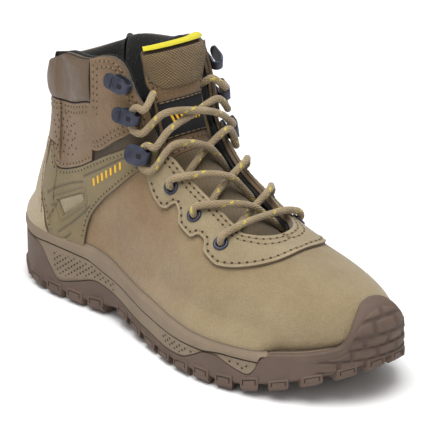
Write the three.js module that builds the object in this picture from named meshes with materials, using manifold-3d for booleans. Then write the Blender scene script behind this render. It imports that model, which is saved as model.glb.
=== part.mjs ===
// Right-foot steel toe work boot, ankle height, laced through eyelets and hooks.
// Millimetres. +X runs from the heel to the toe, +Y to the inner (medial) side, +Z up, with the
// ground at Z = 0. Every upper piece is a shell laid over one form surface: the outside of the
// base leather. Pieces above it have positive offsets, and pieces inside it negative ones.
import * as THREE from 'three';
import { mergeVertices } from 'three/addons/utils/BufferGeometryUtils.js';
import Module from 'manifold-3d';

const wasm = await Module();
wasm.setup();

// ---------------------------------------------------------------- driving dimensions
const LATERAL = -1;
const MEDIAL = 1;
const SIDES = [LATERAL, MEDIAL];
const SIDE_NAME = { [LATERAL]: 'lateral', [MEDIAL]: 'medial' };

const HEEL_X = -100;        // centre of the heel's round end
const BALL_X = 52;          // centre of the toe's round end, at the ball of the foot
const TOE_REACH = 92.5;       // form, ball centre to toe tip
const SOLE_TOE_REACH = 96.4;
const SOLE_HEEL_REACH = 54;
const HEEL_SPAN = 62;       // length given to the quarter turn round the heel
const TOE_SPAN = 100;       // length given to the quarter turn round the toe
const TOE_ROUNDNESS = { [LATERAL]: 1.95, [MEDIAL]: 2.05 };
const HEEL_ROUNDNESS = 2.2;
const TOE_SWING = 9.6;      // how far the toe tip swings to the medial side
const BALL_S = BALL_X - HEEL_X;
const TOE_S = BALL_S + TOE_SPAN;

const GAP = 0.35;           // clearance between pieces that touch
const LEATHER = 1.8;
const OVERLAY = 1.55;
const LINING = 1.3;
const STEEL_CAP = 2.0;
const COUNTER = 1.4;
const STIFF_GAP = 1.5;      // round the steel cap and the heel counter, where the upper curves most
const PLATE = 0.8;          // steel plate against nails
const BOARD = 1.8;
const FOOTBED = 5;
const COLLAR_PAD = 3.6;
const COLLAR_FOAM = 6.5;
const WALL = 4;             // rubber wall of the outsole
const FLOOR = 3.4;          // rubber between the lugs and the midsole
const LUG_DEPTH = 4.6;
const LACE_R = 2.2;
const EYELET_HOLE_R = 2.75;
const EYELET_BARREL_R = 3.4;
const EYELET_FLANGE_R = 4.7;
const STITCH_HOLE = EYELET_BARREL_R + 0.3;

const TOE_CAP_BACK_X = 100;
const FLAP_REACH_TOP = 25.5;  // half width of the opening between the flaps
const VAMP_REAR_S = 44;

// ---------------------------------------------------------------- curves
// A smooth curve through points that never overshoots them.
function curve(points) {
  const x = points.map((p) => p[0]);
  const y = points.map((p) => p[1]);
  const last = x.length - 1;
  const step = x.slice(1).map((v, i) => v - x[i]);
  const rise = step.map((h, i) => (y[i + 1] - y[i]) / h);
  const slope = x.map((_, i) => {
    if (i === 0 || i === last || rise[i - 1] * rise[i] <= 0) return 0;
    const before = 2 * step[i] + step[i - 1];
    const after = step[i] + 2 * step[i - 1];
    return (before + after) / (before / rise[i - 1] + after / rise[i]);
  });
  return (at) => {
    const q = Math.min(Math.max(at, x[0]), x[last]);
    let i = 0;
    while (i < last - 1 && q >= x[i + 1]) i += 1;
    const t = (q - x[i]) / step[i];
    const u = 1 - t;
    return y[i] * (1 + 2 * t) * u * u + slope[i] * step[i] * t * u * u
      + y[i + 1] * t * t * (3 - 2 * t) + slope[i + 1] * step[i] * t * t * (t - 1);
  };
}

function smoothstep(from, to, at) {
  const t = Math.min(Math.max((at - from) / (to - from), 0), 1);
  return t * t * (3 - 2 * t);
}

const HALF_WIDTH = {
  [LATERAL]: curve([[-100, 38], [-50, 35.5], [0, 43], [BALL_X, 51]]),
  [MEDIAL]: curve([[-100, 38], [-50, 33.5], [0, 35.5], [BALL_X, 47]]),
};
const SOLE_HALF_WIDTH = {
  [LATERAL]: curve([[-100, 42], [-50, 38.5], [0, 48.5], [BALL_X, 58]]),
  [MEDIAL]: curve([[-100, 42], [-50, 38], [0, 40], [BALL_X, 53]]),
};
const shaftHalfWidth = curve([[-100, 30.8], [-70, 36], [-30, 38.5], [0, 39.5]]);
const shaftShare = curve([[40, 1.03], [60, 1.02], [85, 0.98], [110, 0.96], [140, 0.97], [175, 1]]);
// The ridge along the top of the foot and up the front of the shaft.
const crestHeight = curve([[-100, 520], [-60, 300], [-40, 235], [-28, 190], [-22, 163], [-14, 140],
  [0, 121.5], [27, 100], [50, 85.5], [80, 75.7], [110, 71.5], [132, 68.5], [150, 63]]);
const sectionRoundness = curve([[-100, 2.3], [-20, 2.4], [6, 2.2], [50, 2.15], [100, 2.7], [150, 3.6]]);
// Where the upper meets the midsole.
const featherHeight = curve([[-150, 42], [-100, 41.5], [-68, 42], [-48, 39], [-30, 34.5], [3, 31.5],
  [35, 29], [65, 27], [95, 27.8], [120, 31], [150, 37]]);
const backX = curve([[30, -145], [45, -145.5], [60, -142], [80, -135.6], [100, -129.2], [120, -124.8],
  [150, -123.8], [175, -125.3]]);
const topLine = curve([[-130, 147], [-110, 153], [-92, 161], [-67, 164], [-56, 168], [-45, 172],
  [-33, 173], [-27, 169], [-20, 150]]);

// ---------------------------------------------------------------- the form surface
// A station is a place round the boot: s runs from -HEEL_SPAN at the back of the heel, through 0 at
// HEEL_X and BALL_S at BALL_X, to TOE_S at the toe tip. Each station has one section curve, which
// climbs from the feather line to the crest.
const SECTION_POINTS = 120;

function superRadius(cos, sin, across, along, power) {
  return (Math.abs(cos / across) ** power + Math.abs(sin / along) ** power) ** (-1 / power);
}

function swing(x) {
  return TOE_SWING * Math.max(0, x / 150) ** 2;
}

function heelAngle(s) {
  return Math.min(Math.max(-s / HEEL_SPAN, 0), 1) * Math.PI / 2;
}

function toeAngle(s) {
  return Math.min(Math.max((s - BALL_S) / TOE_SPAN, 0), 1) * Math.PI / 2;
}

function wallReach(x, z, side, climbed) {
  const foot = HALF_WIDTH[side](x);
  const forward = smoothstep(-25, 42, x);
  const height = z - featherHeight(x);
  const shaft = shaftHalfWidth(x) * shaftShare(z);
  const tuck = Math.min(Math.max(1 - height / 12, 0), 1);
  const low = foot * (1 - 0.03 * tuck * tuck);
  const up = smoothstep(0, 65, height);
  const rear = low * (1 - up) + shaft * up;
  const under = Math.min(Math.max(1 - climbed / 0.2, 0), 1);
  const front = foot * (1 - 0.05 * under * under);
  return forward * front + (1 - forward) * rear;
}

function makeSection(s, side) {
  const points = [];
  const turn = heelAngle(s);
  const swingAngle = toeAngle(s);
  for (let i = 0; i < SECTION_POINTS; i += 1) {
    const share = i / (SECTION_POINTS - 1);
    if (s < 0) {
      const foot = featherHeight(HEEL_X - 45 * Math.sin(turn));
      const z = foot + (190 - foot) * share;
      const base = featherHeight(HEEL_X);
      const climbed = (z - base) / (crestHeight(HEEL_X) - base);
      const power = sectionRoundness(HEEL_X);
      const close = (1 - Math.max(climbed, 0) ** power) ** (1 / power);
      const across = wallReach(HEEL_X, z, side, climbed) * close;
      const reach = superRadius(Math.cos(turn), Math.sin(turn), across, HEEL_X - backX(z), HEEL_ROUNDNESS);
      points.push(new THREE.Vector3(HEEL_X - reach * Math.sin(turn), side * reach * Math.cos(turn), z));
      continue;
    }
    const widest = superRadius(Math.cos(swingAngle), Math.sin(swingAngle),
      HALF_WIDTH[side](BALL_X), TOE_REACH, TOE_ROUNDNESS[side]);
    const beyond = s > BALL_S;
    const power = sectionRoundness(beyond ? BALL_X + widest * Math.sin(swingAngle) * 0.8 : HEEL_X + s);
    const climbed = Math.sin(share * Math.PI / 2) ** (2 / power);
    const inward = Math.cos(share * Math.PI / 2) ** (2 / power);
    if (!beyond) {
      const x = HEEL_X + s;
      const foot = featherHeight(x);
      const z = foot + (crestHeight(x) - foot) * climbed;
      const y = side * wallReach(x, z, side, climbed) * inward + swing(x);
      points.push(new THREE.Vector3(x, y, z));
      continue;
    }
    const under = Math.min(Math.max(1 - climbed / 0.2, 0), 1);
    const reach = widest * inward * (1 - 0.05 * under * under);
    const x = BALL_X + reach * Math.sin(swingAngle);
    const foot = featherHeight(x);
    const z = foot + (crestHeight(x) - foot) * climbed;
    points.push(new THREE.Vector3(x, side * reach * Math.cos(swingAngle) + swing(x), z));
  }
  const length = [0];
  for (let i = 1; i < points.length; i += 1) length.push(length[i - 1] + points[i].distanceTo(points[i - 1]));
  return { points, length, total: length[length.length - 1] };
}

const sectionCache = new Map();
function section(station) {
  const key = `${station.s.toFixed(4)}:${station.side}`;
  if (!sectionCache.has(key)) sectionCache.set(key, makeSection(station.s, station.side));
  return sectionCache.get(key);
}

function formPoint(station, climb) {
  const { points, length, total } = section(station);
  const q = Math.min(Math.max(climb, 0), total);
  let i = 0;
  while (i < length.length - 2 && length[i + 1] < q) i += 1;
  const t = (q - length[i]) / Math.max(length[i + 1] - length[i], 1e-9);
  return points[i].clone().lerp(points[i + 1], t);
}

const DELTA = 0.6;
function formFrame(station, climb) {
  const lowS = Math.max(station.s - DELTA, -HEEL_SPAN);
  const highS = Math.min(station.s + DELTA, TOE_S);
  const along = formPoint({ s: highS, side: station.side }, climb)
    .sub(formPoint({ s: lowS, side: station.side }, climb)).normalize();
  const total = section(station).total;
  const up = formPoint(station, Math.min(climb + DELTA, total))
    .sub(formPoint(station, Math.max(climb - DELTA, 0))).normalize();
  const normal = new THREE.Vector3().crossVectors(along, up).normalize();
  if (station.side === MEDIAL) normal.negate();
  return { point: formPoint(station, climb), along, up, normal };
}

function offsetPoint(station, climb, offset) {
  const { point, normal } = formFrame(station, climb);
  return point.addScaledVector(normal, offset);
}

// Ways to name a place on a section: each gives the length climbed from the feather line.
function firstClimb(station, test) {
  const { points, length, total } = section(station);
  for (let i = 1; i < points.length; i += 1) {
    const before = test(points[i - 1]);
    const after = test(points[i]);
    if (after >= 0) {
      const t = before < 0 ? -before / (after - before) : 0;
      return length[i - 1] + t * (length[i] - length[i - 1]);
    }
  }
  return total;
}
const atHeight = (station, z) => firstClimb(station, (p) => p.z - z);
const reachOf = (station, p) => (station.s > BALL_S
  ? Math.hypot(p.x - BALL_X, p.y - swing(p.x)) : Math.abs(p.y - swing(p.x)));
const atReach = (station, reach) => {
  const { points, length } = section(station);
  let i = points.length - 1;
  while (i > 0 && reachOf(station, points[i - 1]) < reach) i -= 1;
  const high = reachOf(station, points[i]);
  const low = reachOf(station, points[Math.max(i - 1, 0)]);
  const t = Math.min(Math.max((low - reach) / Math.max(low - high, 1e-6), 0), 1);
  return length[Math.max(i - 1, 0)] + t * (length[i] - length[Math.max(i - 1, 0)]);
};
const fromCrest = (station, down) => Math.max(section(station).total - down, 0);
const stationX = (s) => HEEL_X + s;

// ---------------------------------------------------------------- stations
// All the layers share one list of stations, so that their facets lie parallel.
const BACK_SEAM = 0.3 - HEEL_SPAN;
const STATIONS = [BACK_SEAM, -53, -44, -35, -26, -17.5, -14, -9, -3, 5, 15, 25, 30, 36, 44, 53, 62, 67, 69.5, 72,
  74.5, 77, 79.5, 84, 88, 93, 99, 106, 114, 124, 134, 143, BALL_S, 161, 172, 186, 202, 218, 235, TOE_S];

// The shared stations from one place to another, with both ends and any extra places.
function stationsBetween(from, to, side, extra = []) {
  const inside = STATIONS.filter((s) => s > from + 0.6 && s < to - 0.6);
  return [...new Set([from, ...inside, to, ...extra])].sort((a, b) => a - b).map((s) => ({ s, side }));
}
// Lateral front edge, back round the heel, medial front edge.
function roundHeel(front, extra = []) {
  const lateral = stationsBetween(-HEEL_SPAN, front, LATERAL, extra).filter(({ s }) => s !== BACK_SEAM).reverse();
  return [...lateral, ...lateral.slice(0, -1).reverse().map(({ s }) => ({ s, side: MEDIAL }))];
}
// Lateral rear edge, forward round the toe, medial rear edge.
function roundToe(rear, extra = []) {
  const lateral = stationsBetween(rear, TOE_S, LATERAL, extra);
  return [...lateral, ...lateral.slice(0, -1).reverse().map(({ s }) => ({ s, side: MEDIAL }))];
}

// ---------------------------------------------------------------- solids from grids
function closedGeometry(vertices, faces) {
  const geometry = new THREE.BufferGeometry();
  geometry.setAttribute('position', new THREE.Float32BufferAttribute(vertices.flatMap((v) => [v.x, v.y, v.z]), 3));
  geometry.setIndex(faces.flat());
  const volume = faces.reduce((sum, [a, b, c]) => sum
    + vertices[a].dot(new THREE.Vector3().crossVectors(vertices[b], vertices[c])), 0);
  if (volume < 0) geometry.setIndex(faces.map(([a, b, c]) => [a, c, b]).flat());
  return geometry;
}

// Joins the polygons of a loft. caps lists triangles that close the first and last polygon.
function loft(polygons, closed, caps) {
  const size = polygons[0].length;
  const vertices = polygons.flat();
  const faces = [];
  const spans = closed ? polygons.length : polygons.length - 1;
  for (let i = 0; i < spans; i += 1) {
    const a = i * size;
    const b = ((i + 1) % polygons.length) * size;
    for (let j = 0; j < size; j += 1) {
      const k = (j + 1) % size;
      faces.push([a + j, b + j, b + k], [a + j, b + k, a + k]);
    }
  }
  if (!closed) {
    const end = (polygons.length - 1) * size;
    caps.forEach(([p, q, r]) => faces.push([p, q, r], [end + p, end + r, end + q]));
  }
  return closedGeometry(vertices, faces);
}

// Caps of any flat outline, wound the way the outline runs.
function outlineCaps(outline) {
  const points = outline.map(([x, y]) => new THREE.Vector2(x, y));
  const forward = THREE.ShapeUtils.area(points) > 0;
  return THREE.ShapeUtils.triangulateShape(points, []).map(([a, b, c]) => {
    const turn = THREE.ShapeUtils.area([points[a], points[b], points[c]]) > 0;
    return turn === forward ? [a, b, c] : [a, c, b];
  });
}

// Caps of a polygon made of an outer row and the inner row coming back.
function ribbonCaps(rows) {
  const caps = [];
  const size = 2 * (rows + 1);
  for (let j = 0; j < rows; j += 1) {
    const inner = size - 1 - j;
    caps.push([j, j + 1, inner - 1], [j, inner - 1, inner]);
  }
  return caps;
}

// A piece of sheet material on the form, between two lines and two offsets.
// A spread above 1 packs the rows toward the lower line, where the toe curves most.
function shell({ stations, low, high, rows, inner, outer, spread = 1, closed = false }) {
  const value = (v, station, share) => (typeof v === 'function' ? v(station, share) : v);
  const polygons = stations.map((station) => {
    const from = low(station);
    const to = Math.max(high(station), from + 0.8);
    const row = (offset) => Array.from({ length: rows + 1 }, (_, j) => {
      const share = (j / rows) ** spread;
      return offsetPoint(station, from + (to - from) * share, value(offset, station, share));
    });
    return [...row(outer), ...row(inner).reverse()];
  });
  return loft(polygons, closed, ribbonCaps(rows));
}

function toManifold(geometry) {
  const bare = geometry.clone();
  bare.deleteAttribute('normal');
  bare.deleteAttribute('uv');
  const merged = mergeVertices(bare, 1e-4);
  const corners = Array.from(merged.index.array);
  const kept = [];
  for (let i = 0; i < corners.length; i += 3) {
    const [a, b, c] = corners.slice(i, i + 3);
    if (a !== b && b !== c && c !== a) kept.push(a, b, c);
  }
  return new wasm.Manifold(new wasm.Mesh({
    numProp: 3,
    vertProperties: Float32Array.from(merged.attributes.position.array),
    triVerts: Uint32Array.from(kept),
  }));
}

function fromManifold(solid) {
  const mesh = solid.getMesh();
  const geometry = new THREE.BufferGeometry();
  geometry.setAttribute('position', new THREE.Float32BufferAttribute(mesh.vertProperties, 3));
  geometry.setIndex(Array.from(mesh.triVerts));
  return geometry;
}

// Joins solids. A pocket that the join seals in is filled.
function joined(geometries) {
  const whole = geometries.map(toManifold).reduce((a, b) => a.add(b));
  return fromManifold(whole.decompose().filter((body) => body.volume() > 0).reduce((a, b) => a.add(b)));
}
const cut = (geometry, tools) => fromManifold(tools.map(toManifold).reduce((a, b) => a.subtract(b), toManifold(geometry)));

// ---------------------------------------------------------------- boot assembly
const boot = new THREE.Group();
const FINISH = {
  nubuck: { color: 0x9a825f, roughness: 0.9, metalness: 0 },
  smooth_leather: { color: 0x74614e, roughness: 0.6, metalness: 0 },
  band: { color: 0x7b7052, roughness: 0.75, metalness: 0 },
  brown_mesh: { color: 0x6d5c45, roughness: 0.95, metalness: 0 },
  black_mesh: { color: 0x1c1d1a, roughness: 0.95, metalness: 0 },
  yellow_lining: { color: 0xd8d81e, roughness: 0.85, metalness: 0 },
  lace: { color: 0xb5a382, roughness: 0.9, metalness: 0 },
  hardware: { color: 0x4a4c58, roughness: 0.4, metalness: 0.7 },
  steel: { color: 0x8d9196, roughness: 0.35, metalness: 0.9 },
  midsole: { color: 0x8f8069, roughness: 0.8, metalness: 0 },
  rubber: { color: 0x66554b, roughness: 0.85, metalness: 0 },
  board: { color: 0xb9ad98, roughness: 0.9, metalness: 0 },
  foam: { color: 0x2a2b28, roughness: 0.95, metalness: 0 },
  label: { color: 0x17171a, roughness: 0.8, metalness: 0 },
};
function add(name, geometry, finish) {
  const mesh = new THREE.Mesh(geometry, new THREE.MeshStandardMaterial(FINISH[finish]));
  mesh.name = name;
  boot.add(mesh);
  return mesh;
}

// ---------------------------------------------------------------- sole
function soleReach(s, side, inset) {
  const turn = heelAngle(s);
  const swingAngle = toeAngle(s);
  const wide = SOLE_HALF_WIDTH[side];
  if (s < 0) {
    return superRadius(Math.cos(turn), Math.sin(turn), wide(HEEL_X) - inset, SOLE_HEEL_REACH - inset, HEEL_ROUNDNESS);
  }
  if (s > BALL_S) {
    return superRadius(Math.cos(swingAngle), Math.sin(swingAngle), wide(BALL_X) - inset,
      SOLE_TOE_REACH - inset, TOE_ROUNDNESS[side]);
  }
  return wide(HEEL_X + s) - inset;
}
// A point of the sole at a distance in from its outline. The height may depend on where that is.
function solePoint({ s, side }, inset, height) {
  const turn = heelAngle(s);
  const swingAngle = toeAngle(s);
  const reach = soleReach(s, side, inset);
  let x = HEEL_X + s;
  let y = reach;
  if (s < 0) {
    x = HEEL_X - reach * Math.sin(turn);
    y = reach * Math.cos(turn);
  } else if (s > BALL_S) {
    x = BALL_X + reach * Math.sin(swingAngle);
    y = reach * Math.cos(swingAngle);
  }
  return new THREE.Vector3(x, side * y + swing(x), typeof height === 'function' ? height(x) : height);
}

// The tread's lowest line: it lifts at the back of the heel, under the arch and at the toe.
const treadHeight = curve([[-154, 6], [-136, 1.5], [-118, 0], [-62, 0], [-40, 4], [-14, 3], [4, 0],
  [74, 0], [100, 4], [124, 11], [140, 17], [154, 23]]);
const lugTop = (x) => treadHeight(x) + LUG_DEPTH;
const floorTop = (x) => lugTop(x) + FLOOR;
const midsoleLow = (x) => floorTop(x) + 2 * GAP;
// The top edge of the rubber, by station. It dips where the midsole shows through as windows.
const rubberTop = curve([[-62, 33.5], [-18, 33], [-9, 30], [-1, 20], [7.6, 12.5], [25, 17], [41, 21.5], [52, 20],
  [80, 15], [107, 12], [127, 10.5], [143, 11.5], [153, 15.5], [164, 20.5], [172, 21], [184, 16.7], [193.7, 14],
  [197, 17], [201.5, 26.5], [207, 29.5], [218, 31.5], [227, 34], [233.6, 37], [237.4, 43], [240.5, 51], [247, 58],
  [252, 59]]);
const BUMPER_S = 206;       // from here the rubber covers the midsole and climbs the toe
const BUMPER_IN = 4 * GAP;
const plainX = (station) => solePoint(station, 0, 0).x;
const wallTop = (station) => {
  const x = plainX(station);
  const floor = lugTop(x) + 3.5;
  return station.s < BUMPER_S ? Math.max(rubberTop(station.s), floor) : featherHeight(x) - 0.4;
};
const SOLE_STATIONS = [-HEEL_SPAN, -52, -40, -29, -18, -9, -4.5, 0, 6, 16, 28, 40, 52, 66, 80, 94, 107, 122, 136, 144,
  152, 158, 165, 172, 180, 188, 194, 197, 201.5, 206, 212, 220, 228, 236, 244, TOE_S];
const soleLoop = [...SOLE_STATIONS.map((s) => ({ s, side: LATERAL })),
  ...SOLE_STATIONS.slice(1, -1).reverse().map((s) => ({ s, side: MEDIAL }))];

// A solid slab across the inside of the sole, between two heights that follow x.
function soleSheet(inset, low, high) {
  const polygons = SOLE_STATIONS.map((s) => {
    const place = Math.min(Math.max(s, 1.5 - HEEL_SPAN), TOE_S - 1.5);
    const corner = (side, height) => solePoint({ s: place, side }, inset, height);
    return [corner(LATERAL, low), corner(MEDIAL, low), corner(MEDIAL, high), corner(LATERAL, high)];
  });
  return loft(polygons, false, [[0, 1, 2], [0, 2, 3]]);
}
const SEAM = 0.02;          // slabs stop this far short of the rim's faces, so that a join is clean

function buildOutsole() {
  const wall = loft(soleLoop.map((station) => {
    const top = wallTop(station);
    return [
      solePoint(station, 12, lugTop),
      solePoint(station, 2.4, lugTop),
      solePoint(station, 0, Math.min(lugTop(plainX(station)) + 2.4, top - 1)),
      solePoint(station, 0, top - 0.6),
      solePoint(station, 0.6, top),
      solePoint(station, WALL, top),
      solePoint(station, WALL, floorTop),
      solePoint(station, 12, floorTop),
    ];
  }), true, []);
  const bumper = shell({
    stations: roundToe(BUMPER_S + 4, [224, 230, 238, 241, 246]),
    low: (st) => atHeight(st, section(st).points[0].z + 5.5),
    high: (st) => atHeight(st, rubberTop(st.s)),
    rows: 4,
    inner: BUMPER_IN,
    outer: (st, share) => WALL + 1.4 - 1.9 * share * share,
  });
  const floor = soleSheet(11, (x) => lugTop(x) + SEAM, (x) => floorTop(x) - SEAM);
  return joined([wall, bumperFoot(), bumper, floor, ...edgeLugs(), ...middleLugs()]);
}

// The rubber between the top of the wall and the bumper, outside the midsole.
function bumperFoot() {
  return loft(roundToe(BUMPER_S + 1, [224, 230, 238, 241, 246]).map((station) => {
    const top = section(station).points[0].z;
    return [
      solePoint(station, 0.6, (x) => featherHeight(x) - 4),
      solePoint(station, 0.6, (x) => featherHeight(x) + 4),
      offsetPoint(station, atHeight(station, top + 7.5), WALL),
      offsetPoint(station, atHeight(station, top + 7.5), BUMPER_IN + 0.1),
      offsetPoint(station, atHeight(station, top + 2.4), BUMPER_IN + 0.1),
      solePoint(station, WALL - 0.2, (x) => featherHeight(x) + 1.3),
      solePoint(station, WALL - 0.2, (x) => featherHeight(x) - 4),
    ];
  }), false, outlineCaps([[0, 0], [0, 8], [6, 11], [9, 11], [9, 7], [4, 5.3], [4, 0]]));
}

// Lugs round the edge climb the wall. Each is [first station, last station].
const EDGE_LUGS = [[-56, -43], [-38, -26], [-21, -9], [-4, 10], [15, 29], [34, 48], [64, 77], [82, 95], [100, 113],
  [118, 131], [136, 150], [155, 168], [173, 185], [190, 200], [205, 214], [219, 227], [232, 239], [243, 250]];
const LUG_PROUD = 1.1;
const LUG_ROOT = 14;
function edgeLugs() {
  const caps = outlineCaps([[LUG_ROOT, 0], [2.4, 0], [-1, 4.5], [-1, 9], [2, 9.6], [2, 6], [LUG_ROOT, 6]]);
  return EDGE_LUGS.flatMap(([from, to]) => SIDES.map((side) => {
    const ends = [{ s: from, side }, { s: to, side }];
    return loft(ends.map((station) => {
      const low = treadHeight(plainX(station));
      const tall = low + Math.min(9, Math.max(wallTop(station) - low - 2, 6.4));
      return [
        solePoint(station, LUG_ROOT, treadHeight), solePoint(station, 2.4, treadHeight),
        solePoint(station, -LUG_PROUD, low + 4.5), solePoint(station, -LUG_PROUD, tall),
        solePoint(station, 2, tall + 0.6), solePoint(station, 2, (x) => lugTop(x) + 1.4),
        solePoint(station, LUG_ROOT, (x) => lugTop(x) + 1.4),
      ];
    }), false, caps);
  }));
}

// Chevron lugs down the middle of the tread.
const HEEL_CHEVRONS = [-126, -106, -86];
const FOREFOOT_CHEVRONS = [6, 26, 46, 66, 86, 104];
const CHEVRON_LENGTH = 10;
const CHEVRON_POINT = 4;
function middleLugs() {
  return [...HEEL_CHEVRONS, ...FOREFOOT_CHEVRONS].map((x) => {
    const low = treadHeight(x + CHEVRON_LENGTH / 2);
    const half = x < HEEL_X / 2 ? 15 : 22 - Math.max(0, x - 50) * 0.2;
    const outline = new THREE.Shape([
      [x, -half], [x + CHEVRON_LENGTH, -half], [x + CHEVRON_LENGTH + CHEVRON_POINT, 0],
      [x + CHEVRON_LENGTH, half], [x, half], [x + CHEVRON_POINT, 0],
    ].map(([px, py]) => new THREE.Vector2(px, py)));
    const block = new THREE.ExtrudeGeometry(outline, { depth: lugTop(x) + 1.4 - low, bevelEnabled: false });
    block.translate(0, swing(x), low);
    return block;
  });
}

function buildMidsole() {
  const rim = loft(soleLoop.map((station) => {
    const top = featherHeight(plainX(station));
    const low = midsoleLow(plainX(station));
    const behindBumper = station.s > BUMPER_S - 10;
    const face = behindBumper ? WALL + GAP : 0;
    const ledge = behindBumper ? top - 4 : Math.max(wallTop(station) + GAP, low + 1);
    const groove = ledge + (top - ledge) * 0.5;
    const lip = behindBumper ? face : -0.5;
    return [
      solePoint(station, 13, midsoleLow),
      solePoint(station, WALL + GAP, midsoleLow),
      solePoint(station, WALL + GAP, ledge),
      solePoint(station, face, ledge + 0.02),
      solePoint(station, face, groove),
      solePoint(station, lip, groove + 0.5),
      solePoint(station, lip, top - 1),
      solePoint(station, face + 0.9, featherHeight),
      solePoint(station, 13, featherHeight),
    ];
  }), true, []);
  const core = soleSheet(12, (x) => midsoleLow(x) + SEAM, (x) => featherHeight(x) - SEAM);
  return joined([rim, core]);
}

add('outsole', buildOutsole(), 'rubber');
add('midsole', buildMidsole(), 'midsole');

// ---------------------------------------------------------------- insole parts
// Flat pieces inside the upper, following the feather line.
const liningSpace = LEATHER + 3.4 * GAP;
const CAP_SPACE = STEEL_CAP + 2 * STIFF_GAP + GAP;
const COUNTER_SPACE = COUNTER + STIFF_GAP;
const INSIDE = liningSpace + CAP_SPACE + LINING + GAP;
const TOE_INSET = 6;      // the flat pieces stop short of the toe, where the lining curves in
const isToe = (s) => smoothstep(BALL_S + 9, BALL_S + 34, s);
const isHeel = (s) => 1 - smoothstep(30, 44, s);
function insoleSheet(inside, low, high) {
  const polygons = SOLE_STATIONS.map((s) => {
    const place = Math.min(Math.max(s, 2 - HEEL_SPAN), TOE_S - 3);
    const corner = (side, rise) => {
      const point = offsetPoint({ s: place, side }, 1.5, -inside - isToe(s) * TOE_INSET);
      return point.setZ(featherHeight(point.x) + rise);
    };
    return [corner(LATERAL, low), corner(MEDIAL, low), corner(MEDIAL, high), corner(LATERAL, high)];
  });
  return loft(polygons, false, [[0, 1, 2], [0, 2, 3]]);
}
const FOOTBED_GAP = 2.2;    // the footbed lies loose, so that it can be lifted out
const boardLow = GAP + PLATE + GAP;
const footbedLow = boardLow + BOARD + GAP;
add('puncture_plate', insoleSheet(INSIDE + 0.3, GAP, GAP + PLATE), 'steel');
add('insole_board', insoleSheet(INSIDE, boardLow, boardLow + BOARD), 'board');
add('footbed', insoleSheet(INSIDE + FOOTBED_GAP, footbedLow, footbedLow + FOOTBED), 'foam');

// ---------------------------------------------------------------- upper: base layer
const EDGE_REACH = curve([[-30, FLAP_REACH_TOP], [-12, 23.5], [0, 20.5], [20, 19.5], [BALL_X, 18]]);
const throatReach = curve([[BALL_S, 18.5], [BALL_S + 25, 16.5], [TOE_S, 14]]);
// The edge of the front opening, for stations from the flaps forward.
function openingClimb(station, extra = 0) {
  const reach = station.s > BALL_S ? throatReach(station.s) : EDGE_REACH(stationX(station.s));
  return atReach(station, reach + extra);
}
function topClimb(station, extra = 0) {
  const x = section(station).points[0].x;
  const over = station.s < 0 ? topLine(HEEL_X - 28 * Math.sin(heelAngle(station.s))) : topLine(x);
  const byHeight = atHeight(station, over - extra);
  return station.s > 66 ? Math.min(byHeight, openingClimb(station, extra)) : byHeight;
}
const feather = (station) => atHeight(station, section(station).points[0].z + GAP);
// The seam where the vamp goes under the side band and the quarter takes over.
const vampSeam = curve([[VAMP_REAR_S, 78], [64, 94], [90, 113.5]]);
const QUARTER_FRONT_S = 88;
const TOE_SPREAD = 1.6;
const GRID_STEP = 0.05;     // a step in an edge takes two stations this far apart

const vamp = shell({
  stations: roundToe(VAMP_REAR_S),
  low: feather,
  high: (st) => (st.s <= QUARTER_FRONT_S
    ? Math.min(atHeight(st, vampSeam(st.s)), openingClimb(st)) : openingClimb(st)),
  rows: 6,
  spread: TOE_SPREAD,
  inner: -LEATHER,
  outer: 0,
});

function quarter(side) {
  const stepAt = VAMP_REAR_S - GAP;
  return shell({
    stations: stationsBetween(BACK_SEAM, QUARTER_FRONT_S, side, [stepAt - GRID_STEP, stepAt])
      .filter(({ s }) => s !== VAMP_REAR_S),
    low: (st) => (st.s < stepAt ? feather(st) : atHeight(st, vampSeam(st.s) + GAP)),
    high: topClimb,
    rows: 8,
    inner: -LEATHER,
    outer: 0,
  });
}

// ---------------------------------------------------------------- upper: overlays
const LAYER_IN = 1.5 * GAP;
const LAYER_OUT = LAYER_IN + OVERLAY;
// Side band: a moulded band that runs from the heel up to the lowest hook, with a window.
const BAND_REAR_S = -17.5;
const BAND_FRONT_S = 88;
const bandTop = curve([[-17.5, 80], [-14, 97], [-12, 98.5], [-6, 87], [0, 84], [20, 90], [36, 98.5], [58, 110.5],
  [84, 121]]);
const bandBottom = curve([[-17.5, 78], [-15.6, 66], [-8.5, 54], [-1, 43], [0, 41.9], [30, 42.3], [33, 57], [44, 73],
  [63, 90], [82, 106.5], [92, 112.7]]);
const WINDOW = [[1.7, 64.5], [29.5, 78], [31.5, 72.5], [9.5, 55]];
function band(side) {
  const strip = shell({
    stations: stationsBetween(BAND_REAR_S, BAND_FRONT_S, side),
    low: (st) => Math.max(atHeight(st, bandBottom(st.s)), feather(st)),
    high: (st) => Math.min(atHeight(st, bandTop(st.s)), openingClimb(st)),
    rows: 4,
    inner: LAYER_IN,
    outer: LAYER_OUT,
  });
  const outline = new THREE.Shape(WINDOW.map(([s, z]) => new THREE.Vector2(stationX(s), z)));
  const punch = new THREE.ExtrudeGeometry(outline, { depth: 30, bevelEnabled: false });
  punch.rotateX(Math.PI / 2);
  punch.translate(0, side > 0 ? 55 : -25, 0);
  return cut(strip, [punch]);
}

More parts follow.
